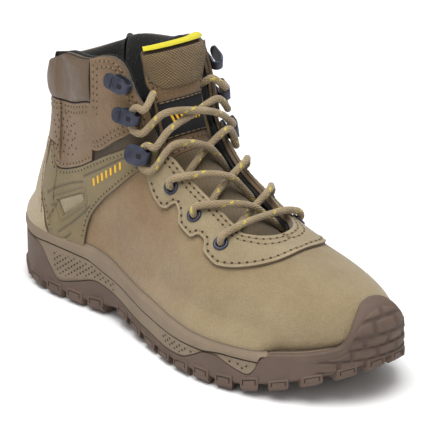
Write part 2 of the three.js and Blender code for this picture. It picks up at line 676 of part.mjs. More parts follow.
// Nubuck ankle panel with the flap that carries the hooks.
const PAD_FRONT_S = 36;
const padBottom = curve([[-62, 126.5], [-8, 128.5], [14, 131], [PAD_FRONT_S, 137]]);
const HEEL_COVER_TOP = 98;
const ankleFront = curve([[38.5, 107], [62, 120], [80, 129]]);
const FLAP_FRONT_S = 79.5;
function anklePanel(side) {
  const insertEdge = 37;    // behind it the panel meets the side band, and ahead of it the textile shows
  const low = (s) => {
    if (s < BAND_REAR_S + 1) return HEEL_COVER_TOP + 2 * GAP;
    if (s > insertEdge) return ankleFront(s);
    return Math.max(bandTop(s), s < -9 ? HEEL_COVER_TOP : 0) + 2 * GAP;
  };
  return shell({
    stations: stationsBetween(BACK_SEAM, FLAP_FRONT_S, side, [PAD_FRONT_S - GAP, insertEdge, insertEdge + GRID_STEP])
      .filter(({ s }) => s !== PAD_FRONT_S),
    low: (st) => atHeight(st, low(st.s)),
    high: (st) => (st.s < PAD_FRONT_S + GAP / 2 ? atHeight(st, padBottom(st.s) - 2 * GAP) : topClimb(st)),
    rows: 4,
    inner: LAYER_IN,
    outer: LAYER_OUT,
  });
}

// Perforated cover round the back of the heel.
const COVER_FRONT_S = -3;
const coverFront = curve([[-17.5, 78], [-15.6, 66], [-8.5, 54], [-3, 45.5]]);
const heelCover = shell({
  stations: roundHeel(COVER_FRONT_S, [BAND_REAR_S - 0.6]),
  low: feather,
  high: (st) => atHeight(st, st.s < BAND_REAR_S - 0.5 ? HEEL_COVER_TOP : coverFront(st.s) - 2.5),
  rows: 4,
  inner: LAYER_IN,
  outer: LAYER_OUT,
});

// Smooth leather pad round the collar.
const collarPad = shell({
  stations: roundHeel(PAD_FRONT_S - 2 * GAP),
  low: (st) => atHeight(st, padBottom(st.s)),
  high: (st) => topClimb(st, 0.5),
  rows: 4,
  inner: GAP,
  outer: (st, share) => GAP + 1 + COLLAR_PAD * Math.sin(Math.PI * Math.min(share + 0.08, 0.92)) ** 0.6,
});

// Scalloped stay round the front opening, which carries the eyelets.
const stayEdge = curve([[84, 56], [98, 53], [104, 48], [110, 39.5], [114, 41], [117, 45.5], [129, 44.5], [134, 39],
  [138, 38.5], [142, 43.5], [152, 44], [160, 43], [184, 40], [213, 37.5], [TOE_S, 33.5]]);
const eyestay = shell({
  stations: roundToe(85, [91, 103, 110, 117, 129, 138]),
  low: (st) => fromCrest(st, stayEdge(st.s)),
  high: (st) => Math.min(openingClimb(st, 0.2), st.s < 93 ? atHeight(st, bandBottom(st.s) - 2 * GAP) : Infinity),
  rows: 3,
  inner: LAYER_IN,
  outer: LAYER_OUT,
});

// ---------------------------------------------------------------- inner pieces
const liningOut = (st) => -(liningSpace + isToe(st.s) * CAP_SPACE + isHeel(st.s) * COUNTER_SPACE);
const COLLAR_FOOT = 118;    // the padded collar lining begins here
const lining = shell({
  stations: [...roundToe(-HEEL_SPAN).filter(({ s }) => s !== BACK_SEAM).slice(0, -1)],
  low: feather,
  high: (st) => (st.s < 84 ? Math.min(atHeight(st, COLLAR_FOOT - 2 * GAP), openingClimb(st)) : openingClimb(st)),
  rows: 5,
  spread: TOE_SPREAD,
  outer: liningOut,
  inner: (st) => liningOut(st) - LINING,
  closed: true,
});

const collarDepth = (s) => LINING + (COLLAR_FOAM - LINING) * (1 - smoothstep(34, 60, s));
const collarLining = shell({
  stations: roundHeel(FLAP_FRONT_S),
  low: (st) => atHeight(st, COLLAR_FOOT),
  high: (st) => topClimb(st, -0.6),
  rows: 4,
  outer: -liningSpace - 0.1,
  inner: (st, share) => -liningSpace - 0.1
    - collarDepth(st.s) * (0.45 + 0.55 * Math.sin(Math.PI * Math.min(share * 0.8 + 0.15, 1))),
});

const CAP_START = 186;
const capRear = (st) => {
  const { points, length } = section(st);
  let i = points.length - 1;
  while (i > 1 && points[i].x < TOE_CAP_BACK_X) i -= 1;
  return Math.max(length[i], feather(st) + 9);
};
const toeCap = shell({
  stations: roundToe(CAP_START),
  low: feather,
  high: capRear,
  rows: 5,
  spread: 1.3,
  outer: -(LEATHER + STIFF_GAP),
  inner: -(LEATHER + STIFF_GAP + STEEL_CAP),
});

const COUNTER_FRONT_S = 30;
const heelCounter = shell({
  stations: roundHeel(COUNTER_FRONT_S),
  low: feather,
  high: (st) => atHeight(st, 92 - 26 * smoothstep(-40, COUNTER_FRONT_S, st.s)),
  rows: 4,
  outer: -(LEATHER + STIFF_GAP),
  inner: -(LEATHER + STIFF_GAP + COUNTER),
});

// ---------------------------------------------------------------- hardware places
const EYELETS = [{ x: 48.3, down: 32.5 }, { x: 24.9, down: 33.7 }, { x: 2.5, down: 36.3 }];
const HOOKS = [{ x: -21.2, z: 115 }, { x: -29.5, z: 137 }, { x: -36.5, z: 156 }];
function hardwareFrame(station, climb) {
  const { point, along, up, normal } = formFrame(station, climb);
  return { point, normal, inward: up, along };
}
const eyeletFrame = ({ x, down }, side) => {
  const station = { s: x - HEEL_X, side };
  return hardwareFrame(station, fromCrest(station, down));
};
const hookFrame = ({ x, z }, side) => {
  const station = { s: x - HEEL_X, side };
  return hardwareFrame(station, atHeight(station, z));
};

// Turns a geometry made about the origin, its z along the normal, to its place on the upper.
function seat(geometry, frame, offset, forward = frame.inward) {
  const z = frame.normal.clone();
  const x = forward.clone().addScaledVector(z, -forward.dot(z)).normalize();
  const y = new THREE.Vector3().crossVectors(z, x);
  const basis = new THREE.Matrix4().makeBasis(x, y, z);
  basis.setPosition(frame.point.clone().addScaledVector(z, offset));
  return geometry.clone().applyMatrix4(basis);
}

function ringGeometry(profile, segments) {
  const ring = new THREE.LatheGeometry(profile.map(([r, z]) => new THREE.Vector2(r, z)), segments);
  ring.rotateX(Math.PI / 2);
  return ring;
}
const eyeletDepth = LAYER_OUT + liningSpace + LINING;
const eyeletShape = ringGeometry([[EYELET_HOLE_R, 1.1], [EYELET_HOLE_R, -eyeletDepth], [EYELET_BARREL_R, -eyeletDepth],
  [EYELET_BARREL_R, GAP], [EYELET_FLANGE_R, GAP], [EYELET_FLANGE_R - 0.5, 1.1], [EYELET_HOLE_R, 1.1]], 12);
const eyeletPunch = new THREE.CylinderGeometry(STITCH_HOLE, STITCH_HOLE, 18, 10);
eyeletPunch.rotateX(Math.PI / 2);

const punches = SIDES.flatMap((side) => EYELETS.map((e) => seat(eyeletPunch, eyeletFrame(e, side), 0)));

add('vamp', cut(vamp, punches), 'nubuck');
SIDES.forEach((side) => {
  add(`quarter_${SIDE_NAME[side]}`, quarter(side), 'brown_mesh');
  add(`side_band_${SIDE_NAME[side]}`, band(side), 'band');
  add(`ankle_panel_${SIDE_NAME[side]}`, anklePanel(side), 'nubuck');
});
add('heel_cover', heelCover, 'nubuck');
add('collar_pad', collarPad, 'smooth_leather');
add('eyestay', cut(eyestay, punches), 'nubuck');
add('lining', cut(lining, punches), 'black_mesh');
add('collar_lining', collarLining, 'black_mesh');
add('toe_cap', toeCap, 'steel');
add('heel_counter', heelCounter, 'board');

// Eyelets, numbered from the toe up.
SIDES.forEach((side) => EYELETS.forEach((e, i) => {
  const frame = eyeletFrame(e, side);
  add(`eyelet_${SIDE_NAME[side]}_${i + 1}`, seat(eyeletShape, frame, LAYER_OUT), 'hardware');
}));

// Hooks: a bent strip, open to the rear, so that the lace bears on its neck.
const HOOK_WIDTH = 6.6;
const HOOK_BASE = 13;
const HOOK_METAL = 1.2;
const HOOK_GAP = 2 * LACE_R + 0.8;
function hookShape() {
  const top = HOOK_METAL + HOOK_GAP + HOOK_METAL;
  const strip = new THREE.Shape();
  strip.moveTo(-HOOK_BASE / 2, 0);
  strip.lineTo(HOOK_BASE / 2, 0);
  strip.lineTo(HOOK_BASE / 2, top);
  strip.lineTo(-HOOK_BASE / 2 + 3, top);
  strip.lineTo(-HOOK_BASE / 2 + 2.2, top + 1.2);
  strip.lineTo(-HOOK_BASE / 2 + 1.2, top + 0.6);
  strip.lineTo(-HOOK_BASE / 2 + 2.2, top - HOOK_METAL);
  strip.lineTo(HOOK_BASE / 2 - HOOK_METAL, top - HOOK_METAL);
  strip.lineTo(HOOK_BASE / 2 - HOOK_METAL, HOOK_METAL);
  strip.lineTo(-HOOK_BASE / 2, HOOK_METAL);
  const body = new THREE.ExtrudeGeometry(strip, { depth: HOOK_WIDTH, bevelEnabled: false });
  body.translate(0, 0, -HOOK_WIDTH / 2);
  body.rotateX(Math.PI / 2);
  return body;
}
const rivetShape = new THREE.CylinderGeometry(1.6, 2.1, 0.9, 12);
rivetShape.rotateX(Math.PI / 2);
const RIVET_BACK = 3.4;
SIDES.forEach((side) => HOOKS.forEach((h, i) => {
  const frame = hookFrame(h, side);
  const toFront = frame.along.clone();
  const offset = LAYER_OUT + GAP;
  const name = `${SIDE_NAME[side]}_${i + 1}`;
  add(`hook_${name}`, seat(hookShape(), frame, offset, toFront), 'hardware');
  const rivetFrame = { ...frame, point: frame.point.clone().addScaledVector(toFront, -RIVET_BACK) };
  add(`hook_rivet_${name}`, seat(rivetShape, rivetFrame, offset + HOOK_METAL + GAP + 0.45, toFront), 'hardware');
}));

// ---------------------------------------------------------------- front of the ankle
// Places over the tongue are named by how far they lie along the crest, how far across it, and
// how high above the form.
function formLevel(x, y, z) {
  const across = Math.abs(y - swing(x));
  const side = y < swing(x) ? LATERAL : MEDIAL;
  const foot = featherHeight(x);
  const climbed = Math.max((z - foot) / (crestHeight(x) - foot), 0);
  if (x <= BALL_X) {
    const power = sectionRoundness(x);
    return climbed ** power + (across / wallReach(x, z, side, climbed)) ** power - 1;
  }
  const angle = Math.atan2(x - BALL_X, across);
  const widest = superRadius(Math.cos(angle), Math.sin(angle), HALF_WIDTH[side](BALL_X), TOE_REACH, TOE_ROUNDNESS[side]);
  const power = sectionRoundness(BALL_X + widest * Math.sin(angle) * 0.8);
  return climbed ** power + (Math.hypot(x - BALL_X, across) / widest) ** power - 1;
}
const CREST_FRONT_X = 78;
const CREST_REAR_X = -30;
const crest = [];
for (let x = CREST_FRONT_X; x >= CREST_REAR_X; x -= 0.5) {
  const point = new THREE.Vector3(x, 0, crestHeight(x));
  const before = crest[crest.length - 1];
  crest.push({ point, u: before ? before.u + point.distanceTo(before.point) : 0 });
}
function crestPlace(u) {
  let i = 1;
  while (i < crest.length - 2 && crest[i].u < u) i += 1;
  const [a, b] = [crest[i - 1], crest[i]];
  const tangent = b.point.clone().sub(a.point).normalize();
  return { point: a.point.clone().lerp(b.point, (u - a.u) / (b.u - a.u)), tangent };
}
const crestByHeight = (z) => crest.find(({ point }) => point.z >= z)?.u ?? crest[crest.length - 1].u;
const crestNear = (p) => crest.reduce((best, c) => {
  const { tangent } = crestPlace(c.u);
  const miss = Math.abs((p.x - c.point.x) * tangent.x + (p.z - c.point.z) * tangent.z);
  return miss < best.miss ? { miss, u: c.u } : best;
}, { miss: Infinity, u: 0 }).u;
function frontPoint(u, across, height) {
  const { point, tangent } = crestPlace(u);
  const outward = new THREE.Vector3(tangent.z, 0, -tangent.x);
  const at = (depth) => point.clone().addScaledVector(outward, -depth);
  const level = (q) => formLevel(q.x, across + swing(q.x), q.z);
  let [near, far] = [-1, 60];
  for (let i = 0; i < 34; i += 1) {
    const mid = (near + far) / 2;
    if (level(at(mid)) > 0) near = mid; else far = mid;
  }
  const on = at(near);
  on.y = across + swing(on.x);
  const step = 0.5;
  const slope = (dx, dy, dz) => formLevel(on.x + dx, on.y + dy, on.z + dz) - formLevel(on.x - dx, on.y - dy, on.z - dz);
  const normal = new THREE.Vector3(slope(step, 0, 0), slope(0, step, 0), slope(0, 0, step)).normalize();
  return on.addScaledVector(normal, height);
}

// ---------------------------------------------------------------- tongue
const TONGUE_LOW = 68;
const TONGUE_TOP = 174;
// Face of the tongue over the form: sunk below the laces, then rising out at the top.
const tongueFace = curve([[60, -12], [84, -10.4], [118, -10.2], [140, -6.5], [158, -2.5], [176, 0.5]]);
const tongueHalf = curve([[66, 14], [76, 18], [92, 25], [112, 26], [126, 22], [136, 18.8], [176, 18.8]]);
const PANEL = 1;
const TONGUE_FOAM = 3.6;
const TONGUE_LINING = 1.1;
const PANEL_SEAMS = [TONGUE_LOW, 121, 148, TONGUE_TOP - 1];
function tongueSheet({ from, to, outer, inner, narrower = 0, steps, rows = 6 }) {
  const [a, b] = [crestByHeight(from), crestByHeight(to)];
  const polygons = Array.from({ length: steps + 1 }, (_, i) => {
    const u = a + (b - a) * i / steps;
    const z = crestPlace(u).point.z;
    const half = tongueHalf(z) - narrower;
    const row = (offset) => Array.from({ length: rows + 1 },
      (__, j) => frontPoint(u, half * (2 * j / rows - 1), tongueFace(z) + offset));
    return [...row(outer), ...row(inner).reverse()];
  });
  return loft(polygons, false, ribbonCaps(rows));
}
const coreOut = -(PANEL + 2 * GAP);
const coreIn = coreOut - TONGUE_FOAM;
add('tongue_padding', tongueSheet({ from: TONGUE_LOW, to: TONGUE_TOP, outer: coreOut, inner: coreIn, steps: 12 }), 'foam');
add('tongue_lining', tongueSheet({
  from: TONGUE_LOW, to: TONGUE_TOP, outer: coreIn - 2 * GAP, inner: coreIn - 2 * GAP - TONGUE_LINING, steps: 12,
}), 'yellow_lining');
['tongue_mesh', 'tongue_panel', 'tongue_top'].forEach((name, i) => add(name, tongueSheet({
  from: PANEL_SEAMS[i] + (i ? 2 * GAP : 0), to: PANEL_SEAMS[i + 1], outer: 0, inner: -PANEL, narrower: 0.5, steps: [6, 3, 3][i],
}), ['brown_mesh', 'nubuck', 'lace'][i]));
add('tongue_label', tongueSheet({
  from: 128, to: 144, outer: 2 * GAP + 0.9, inner: 2 * GAP, narrower: 4.5, steps: 2,
}), 'label');

// Soft gussets close the sides of the tongue under the stays.
const GUSSET = 0.8;
SIDES.forEach((side) => add(`gusset_${SIDE_NAME[side]}`, shell({
  stations: stationsBetween(99, BALL_S, side),
  low: (st) => fromCrest(st, 47),
  high: (st) => fromCrest(st, 41),
  rows: 1,
  outer: -(liningSpace + LINING + 3 * GAP),
  inner: -(liningSpace + LINING + 3 * GAP + GUSSET),
}), 'black_mesh'));

// ---------------------------------------------------------------- lace
// One round lace: a bar over the toe end, then each half crosses under one flap and over the other,
// through three eyelets and round two hooks, and its end is tucked in beside the tongue.
const OVER = LAYER_OUT + 1.1 + LACE_R + 0.3;       // lace axis above an eyelet's flange
const UNDER = -(liningSpace + LINING + LACE_R + 3.6 * GAP);
const IN_HOOK = LAYER_OUT + GAP + HOOK_METAL + 0.4 + LACE_R;
const local = (frame, inward, along, height) => frame.point.clone()
  .addScaledVector(frame.inward, inward).addScaledVector(frame.along, along).addScaledVector(frame.normal, height);
const throughEyelet = (frame) => [
  local(frame, 3.6, 0, OVER + 0.2), local(frame, 0.8, 0, OVER - 0.8), local(frame, 0, 0, 1.6), local(frame, 0, 0, -2.6),
  local(frame, 0.9, 0, UNDER + 0.7), local(frame, 3.6, 0, UNDER),
];
const HOOK_WRAP = [[-7.3, 10, -0.6], [-7.2, 5.2, 0], [-3.9, 2.6, 0], [0, 2.2, 0], [3.9, 2.6, 0], [7.2, 5.2, 0],
  [7.3, 10, -0.6]];
const roundHook = (frame) => HOOK_WRAP.map(([inward, along, rise]) => local(frame, inward, along, IN_HOOK + rise));
// A strand over the tongue, given the heights it has at three places across.
function crossing(from, to, heights) {
  const [ua, ub] = [crestNear(from), crestNear(to)];
  const [ya, yb] = [from, to].map((p) => p.y - swing(p.x));
  return heights.map(([share, height]) => frontPoint(ua + (ub - ua) * share, ya + (yb - ya) * share, height));
}
function laceHalf(side) {
  const near = EYELETS.map((e) => eyeletFrame(e, side));
  const far = EYELETS.map((e) => eyeletFrame(e, -side));
  const nearHooks = HOOKS.map((h) => hookFrame(h, side));
  const farHooks = HOOKS.map((h) => hookFrame(h, -side));
  const goesLateral = (target) => target === LATERAL;
  const middle = (target) => (goesLateral(target) ? 1.2 : -4.4);
  const rising = (target) => [[0.3, -4.9], [0.5, middle(target)], [0.78, 5.6]];
  const outside = (target) => [[0.2, 5.6], [0.5, goesLateral(target) ? 7.2 : 1.6], [0.8, 5.6]];
  const end = (z, across, height) => frontPoint(crestByHeight(z), side * across, height);
  return [
    ...throughEyelet(near[0]),
    ...crossing(near[0].point, far[1].point, rising(-side)),
    ...throughEyelet(far[1]),
    ...crossing(far[1].point, near[2].point, rising(side)),
    ...throughEyelet(near[2]),
    ...crossing(near[2].point, farHooks[0].point, rising(-side)),
    ...roundHook(farHooks[0]),
    ...crossing(farHooks[0].point, nearHooks[1].point, outside(side)),
    ...roundHook(nearHooks[1]),
    end(150, 22.1, 3), end(149.5, 22, -2.5), end(147.5, 22.6, -6.8), end(144, 25.4, UNDER - 0.8),
    end(138, 28, UNDER - 1),
  ];
}
class LaceRoute extends THREE.CatmullRomCurve3 {
  // Even steps between the chosen points, so that a bend keeps its points.
  getPointAt(t) { return this.getPoint(t); }

  getTangentAt(t) { return this.getTangent(t); }
}
const lateralHalf = laceHalf(LATERAL);
const medialHalf = laceHalf(MEDIAL);
const bar = crossing(lateralHalf[0], medialHalf[0], [[0.22, 4.8], [0.5, 3.2], [0.78, 4.8]]);
const laceRoute = new LaceRoute([...lateralHalf.slice().reverse(), ...bar, ...medialHalf], false, 'centripetal');
const roundSection = (radius, sides) => new THREE.Shape(Array.from({ length: sides }, (_, i) => new THREE.Vector2(
  radius * Math.cos(2 * Math.PI * i / sides), radius * Math.sin(2 * Math.PI * i / sides))));
add('lace', new THREE.ExtrudeGeometry(roundSection(LACE_R, 8), {
  steps: laceRoute.points.length - 1, extrudePath: laceRoute, bevelEnabled: false,
}), 'lace');

// Lace tips carry on from the tucked ends.
const TIP_LENGTH = 20;
const TIP_R = 1.6;
SIDES.forEach((side) => {
  const half = side === LATERAL ? lateralHalf : medialHalf;
  const last = half[half.length - 1];
  const heading = frontPoint(crestByHeight(120), side * 29, UNDER - 1.5).sub(last).normalize();
  const tip = new THREE.CylinderGeometry(TIP_R, TIP_R, TIP_LENGTH, 8);
  tip.applyQuaternion(new THREE.Quaternion().setFromUnitVectors(new THREE.Vector3(0, 1, 0), heading));
  const middle = last.clone().addScaledVector(heading, 3 * GAP + TIP_LENGTH / 2);
  tip.translate(middle.x, middle.y, middle.z);
  add(`lace_tip_${SIDE_NAME[side]}`, tip, 'hardware');
});

// The boot stands over its origin.
const extent = new THREE.Box3().setFromObject(boot, true);
const centre = extent.getCenter(new THREE.Vector3());
boot.position.set(-centre.x, -centre.y, -extent.min.z);

export default boot;
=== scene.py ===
import math

import bpy
import numpy as np
from mathutils import Matrix, Vector


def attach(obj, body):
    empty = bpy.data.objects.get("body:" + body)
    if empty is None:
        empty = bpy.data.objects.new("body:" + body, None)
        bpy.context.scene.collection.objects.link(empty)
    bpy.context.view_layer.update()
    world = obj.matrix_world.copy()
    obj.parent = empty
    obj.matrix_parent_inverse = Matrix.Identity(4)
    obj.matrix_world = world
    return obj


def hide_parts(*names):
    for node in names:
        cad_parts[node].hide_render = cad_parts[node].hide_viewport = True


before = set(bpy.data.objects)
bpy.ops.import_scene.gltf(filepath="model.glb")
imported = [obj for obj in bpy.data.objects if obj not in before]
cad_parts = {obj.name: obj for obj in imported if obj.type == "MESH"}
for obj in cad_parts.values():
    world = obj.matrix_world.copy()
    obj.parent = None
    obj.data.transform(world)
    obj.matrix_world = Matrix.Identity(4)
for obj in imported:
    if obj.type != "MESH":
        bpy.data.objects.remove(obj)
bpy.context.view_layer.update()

# Right-foot steel toe work boot. The form below repeats the CAD's own surface in millimetres: the
# outside of the base leather. Everything is laid on it, then moved to the frame and to metres.
MM = 0.001
BOOT_CENTRE = np.array([2.4489, 1.1589, 0.0])
LATERAL, MEDIAL = -1, 1
SIDES = (LATERAL, MEDIAL)
SIDE_NAME = {LATERAL: "lateral", MEDIAL: "medial"}

# ------ camera
CAMERA_TURN = math.radians(48.81)
CAMERA_RISE = math.radians(21.22)
CAMERA_REACH = 1.47604
CAMERA_AIM = Vector((0.0024489, 0.0011589, 0.080))


def place_camera():
    back = Vector((math.sin(CAMERA_TURN) * math.cos(CAMERA_RISE),
                   -math.cos(CAMERA_TURN) * math.cos(CAMERA_RISE), math.sin(CAMERA_RISE)))
    data = bpy.data.cameras.new("camera")
    data.sensor_width = 36
    data.lens = 203.87
    data.shift_x = 0.0233
    data.shift_y = -0.0240
    data.clip_start = 0.05
    camera = bpy.data.objects.new("camera", data)
    bpy.context.scene.collection.objects.link(camera)
    camera.location = CAMERA_AIM + back * CAMERA_REACH
    camera.rotation_euler = (-back).to_track_quat("-Z", "Y").to_euler()
    bpy.context.scene.camera = camera


place_camera()

# ------ sizes, as in the CAD
HEEL_X, BALL_X = -100.0, 52.0
TOE_REACH, SOLE_TOE_REACH, SOLE_HEEL_REACH = 92.5, 96.4, 54.0
HEEL_SPAN, TOE_SPAN = 62.0, 100.0
BALL_S = BALL_X - HEEL_X
TOE_S = BALL_S + TOE_SPAN
TOE_ROUNDNESS = {LATERAL: 1.95, MEDIAL: 2.05}
HEEL_ROUNDNESS = 2.2
TOE_SWING = 9.6
GAP, LEATHER, OVERLAY, LINING = 0.35, 1.8, 1.55, 1.3
LAYER_IN = 1.5 * GAP
LAYER_OUT = LAYER_IN + OVERLAY
LINING_SPACE = LEATHER + 3.4 * GAP
CAP_SPACE, COUNTER_SPACE = 5.35, 2.9
COLLAR_PAD, COLLAR_FOAM, COLLAR_FOOT = 3.6, 6.5, 118.0
WALL, FLOOR, LUG_DEPTH = 4.0, 3.4, 4.6
LACE_R = 2.2


def curve(points):
    """A smooth curve through points that never overshoots them."""
    x, y = np.array(points, float).T
    step = np.diff(x)
    rise = np.diff(y) / step
    slope = np.zeros(len(x))
    for i in range(1, len(x) - 1):
        if rise[i - 1] * rise[i] > 0:
            before, after = 2 * step[i] + step[i - 1], step[i] + 2 * step[i - 1]
            slope[i] = (before + after) / (before / rise[i - 1] + after / rise[i])

    def at(q):
        q = np.clip(np.asarray(q, float), x[0], x[-1])
        i = np.clip(np.searchsorted(x, q, side="right") - 1, 0, len(x) - 2)
        t = (q - x[i]) / step[i]
        u = 1 - t
        return (y[i] * (1 + 2 * t) * u * u + slope[i] * step[i] * t * u * u
                + y[i + 1] * t * t * (3 - 2 * t) + slope[i + 1] * step[i] * t * t * (t - 1))
    return at


def run_along(points):
    """Length from a line's first point to each of its points."""
    return np.concatenate([[0], np.cumsum(np.linalg.norm(np.diff(points, axis=0), axis=1))])


def run_across(grid):
    """Length from the first point of each row of a grid to each point of the row."""
    return np.concatenate([np.zeros((len(grid), 1)),
                           np.cumsum(np.linalg.norm(np.diff(grid, axis=1), axis=2), 1)], 1)


def smoothstep(start, end, at):
    t = np.clip((np.asarray(at, float) - start) / (end - start), 0, 1)
    return t * t * (3 - 2 * t)


HALF_WIDTH = {LATERAL: curve([(-100, 38), (-50, 35.5), (0, 43), (BALL_X, 51)]),
              MEDIAL: curve([(-100, 38), (-50, 33.5), (0, 35.5), (BALL_X, 47)])}
SOLE_HALF_WIDTH = {LATERAL: curve([(-100, 42), (-50, 38.5), (0, 48.5), (BALL_X, 58)]),
                   MEDIAL: curve([(-100, 42), (-50, 38), (0, 40), (BALL_X, 53)])}
shaft_half_width = curve([(-100, 30.8), (-70, 36), (-30, 38.5), (0, 39.5)])
shaft_share = curve([(40, 1.03), (60, 1.02), (85, .98), (110, .96), (140, .97), (175, 1)])
crest_height = curve([(-100, 520), (-60, 300), (-40, 235), (-28, 190), (-22, 163), (-14, 140), (0, 121.5),
                      (27, 100), (50, 85.5), (80, 75.7), (110, 71.5), (132, 68.5), (150, 63)])
section_roundness = curve([(-100, 2.3), (-20, 2.4), (6, 2.2), (50, 2.15), (100, 2.7), (150, 3.6)])
feather_height = curve([(-150, 42), (-100, 41.5), (-68, 42), (-48, 39), (-30, 34.5), (3, 31.5), (35, 29),
                        (65, 27),
                        (95, 27.8), (120, 31), (150, 37)])
back_x = curve([(30, -145), (45, -145.5), (60, -142), (80, -135.6), (100, -129.2), (120, -124.8),
                (150, -123.8),
                (175, -125.3)])
top_line = curve([(-130, 147), (-110, 153), (-92, 161), (-67, 164), (-56, 168), (-47, 169.5), (-41, 168),
                  (-36.5, 164), (-33, 158), (-28, 149), (-20, 140)])
edge_reach = curve([(-30, 25.5), (-12, 23.5), (0, 20.5), (20, 19.5), (BALL_X, 18)])
throat_reach = curve([(BALL_S, 18.5), (BALL_S + 25, 16.5), (TOE_S, 14)])


def swing(x):
    return TOE_SWING * np.maximum(0, np.asarray(x, float) / 150) ** 2


def super_radius(cos, sin, across, along, power):
    return (np.abs(cos / across) ** power + np.abs(sin / along) ** power) ** (-1 / power)


def wall_reach(x, z, side, climbed):
    foot = HALF_WIDTH[side](x)
    forward = smoothstep(-25, 42, x)
    height = z - feather_height(x)
    shaft = shaft_half_width(x) * shaft_share(z)
    tuck = np.clip(1 - height / 12, 0, 1)
    low = foot * (1 - 0.03 * tuck * tuck)
    up = smoothstep(0, 65, height)
    under = np.clip(1 - climbed / 0.2, 0, 1)
    return forward * foot * (1 - 0.05 * under * under) + (1 - forward) * (low * (1 - up) + shaft * up)


# ------ the form surface
# A place is (s, side, climb): s runs from the back of the heel to the toe tip, and climb is the
# length along the section from where the upper meets the sole.
S_STEP = 0.5
S_ALL = np.arange(-HEEL_SPAN, TOE_S + S_STEP / 2, S_STEP)
ROWS = 241


def form_sections(side):
    share = np.linspace(0, 1, ROWS)[None, :]
    s = S_ALL[:, None]
    heel = np.clip(-s / HEEL_SPAN, 0, 1) * math.pi / 2
    toe = np.clip((s - BALL_S) / TOE_SPAN, 0, 1) * math.pi / 2
    foot = feather_height(HEEL_X - 45 * np.sin(heel))
    z = foot + (190 - foot) * share
    base = feather_height(HEEL_X)
    climbed = (z - base) / (crest_height(HEEL_X) - base)
    power = section_roundness(HEEL_X)
    across = wall_reach(HEEL_X, z, side, climbed) * (1 - np.maximum(climbed, 0) ** power) ** (1 / power)
    reach = super_radius(np.cos(heel), np.sin(heel), across, HEEL_X - back_x(z), HEEL_ROUNDNESS)
    rear = np.stack([HEEL_X - reach * np.sin(heel), side * reach * np.cos(heel), z], -1)

    widest = super_radius(np.cos(toe), np.sin(toe), HALF_WIDTH[side](BALL_X), TOE_REACH, TOE_ROUNDNESS[side])
    power = np.where(s > BALL_S, section_roundness(BALL_X + widest * np.sin(toe) * 0.8),
                     section_roundness(HEEL_X + s))
    climbed = np.sin(share * math.pi / 2) ** (2 / power)
    inward = np.cos(share * math.pi / 2) ** (2 / power)
    x = np.broadcast_to(HEEL_X + s, climbed.shape)
    z = feather_height(x) + (crest_height(x) - feather_height(x)) * climbed
    middle = np.stack([x, side * wall_reach(x, z, side, climbed) * inward + swing(x), z], -1)
    under = np.clip(1 - climbed / 0.2, 0, 1)
    reach = widest * inward * (1 - 0.05 * under * under)
    x = BALL_X + reach * np.sin(toe)
    z = feather_height(x) + (crest_height(x) - feather_height(x)) * climbed
    front = np.stack([x, side * reach * np.cos(toe) + swing(x), z], -1)
    where = s[..., None]
    return np.where(where < 0, rear, np.where(where > BALL_S, front, middle))


def sole_spot(s, side, inset, z=0.0):
    """A point of the sole at a distance in from its outline."""
    s, side, inset, z = np.broadcast_arrays(np.asarray(s, float), side, inset, z)
    heel = np.clip(-s / HEEL_SPAN, 0, 1) * math.pi / 2
    toe = np.clip((s - BALL_S) / TOE_SPAN, 0, 1) * math.pi / 2
    out = np.zeros(s.shape + (3,))
    for side_sign in SIDES:
        wide = SOLE_HALF_WIDTH[side_sign]
        rear = super_radius(np.cos(heel), np.sin(heel), wide(HEEL_X) - inset, SOLE_HEEL_REACH - inset,
                            HEEL_ROUNDNESS)
        front = super_radius(np.cos(toe), np.sin(toe), wide(BALL_X) - inset, SOLE_TOE_REACH - inset,
                             TOE_ROUNDNESS[side_sign])
        x = np.where(s < 0, HEEL_X - rear * np.sin(heel),
                     np.where(s > BALL_S, BALL_X + front * np.sin(toe), HEEL_X + s))
        y = np.where(s < 0, rear * np.cos(heel),
                     np.where(s > BALL_S, front * np.cos(toe), wide(HEEL_X + s) - inset))
        place = np.stack([x, side_sign * y + swing(x), z], -1)
        out = np.where((side == side_sign)[..., None], place, out)
    return out


RIM_WIDTH, FLARE_CLIMB = 2.4, 17.0


def flared(place, length, side):
    """The lowest part of the upper swells out over the sole's edge, until only the rim shows."""
    out = (sole_spot(S_ALL, side, 0.0) - place[:, 0])[:, :2]
    gap = np.linalg.norm(out, axis=1)
    swell = np.maximum(gap - RIM_WIDTH, 0) * (1 - smoothstep(196, 214, S_ALL))
    swell = swell[:, None] * (1 - smoothstep(0, FLARE_CLIMB, length))
    place[..., :2] += (out / gap[:, None])[:, None] * swell[..., None]
    return place


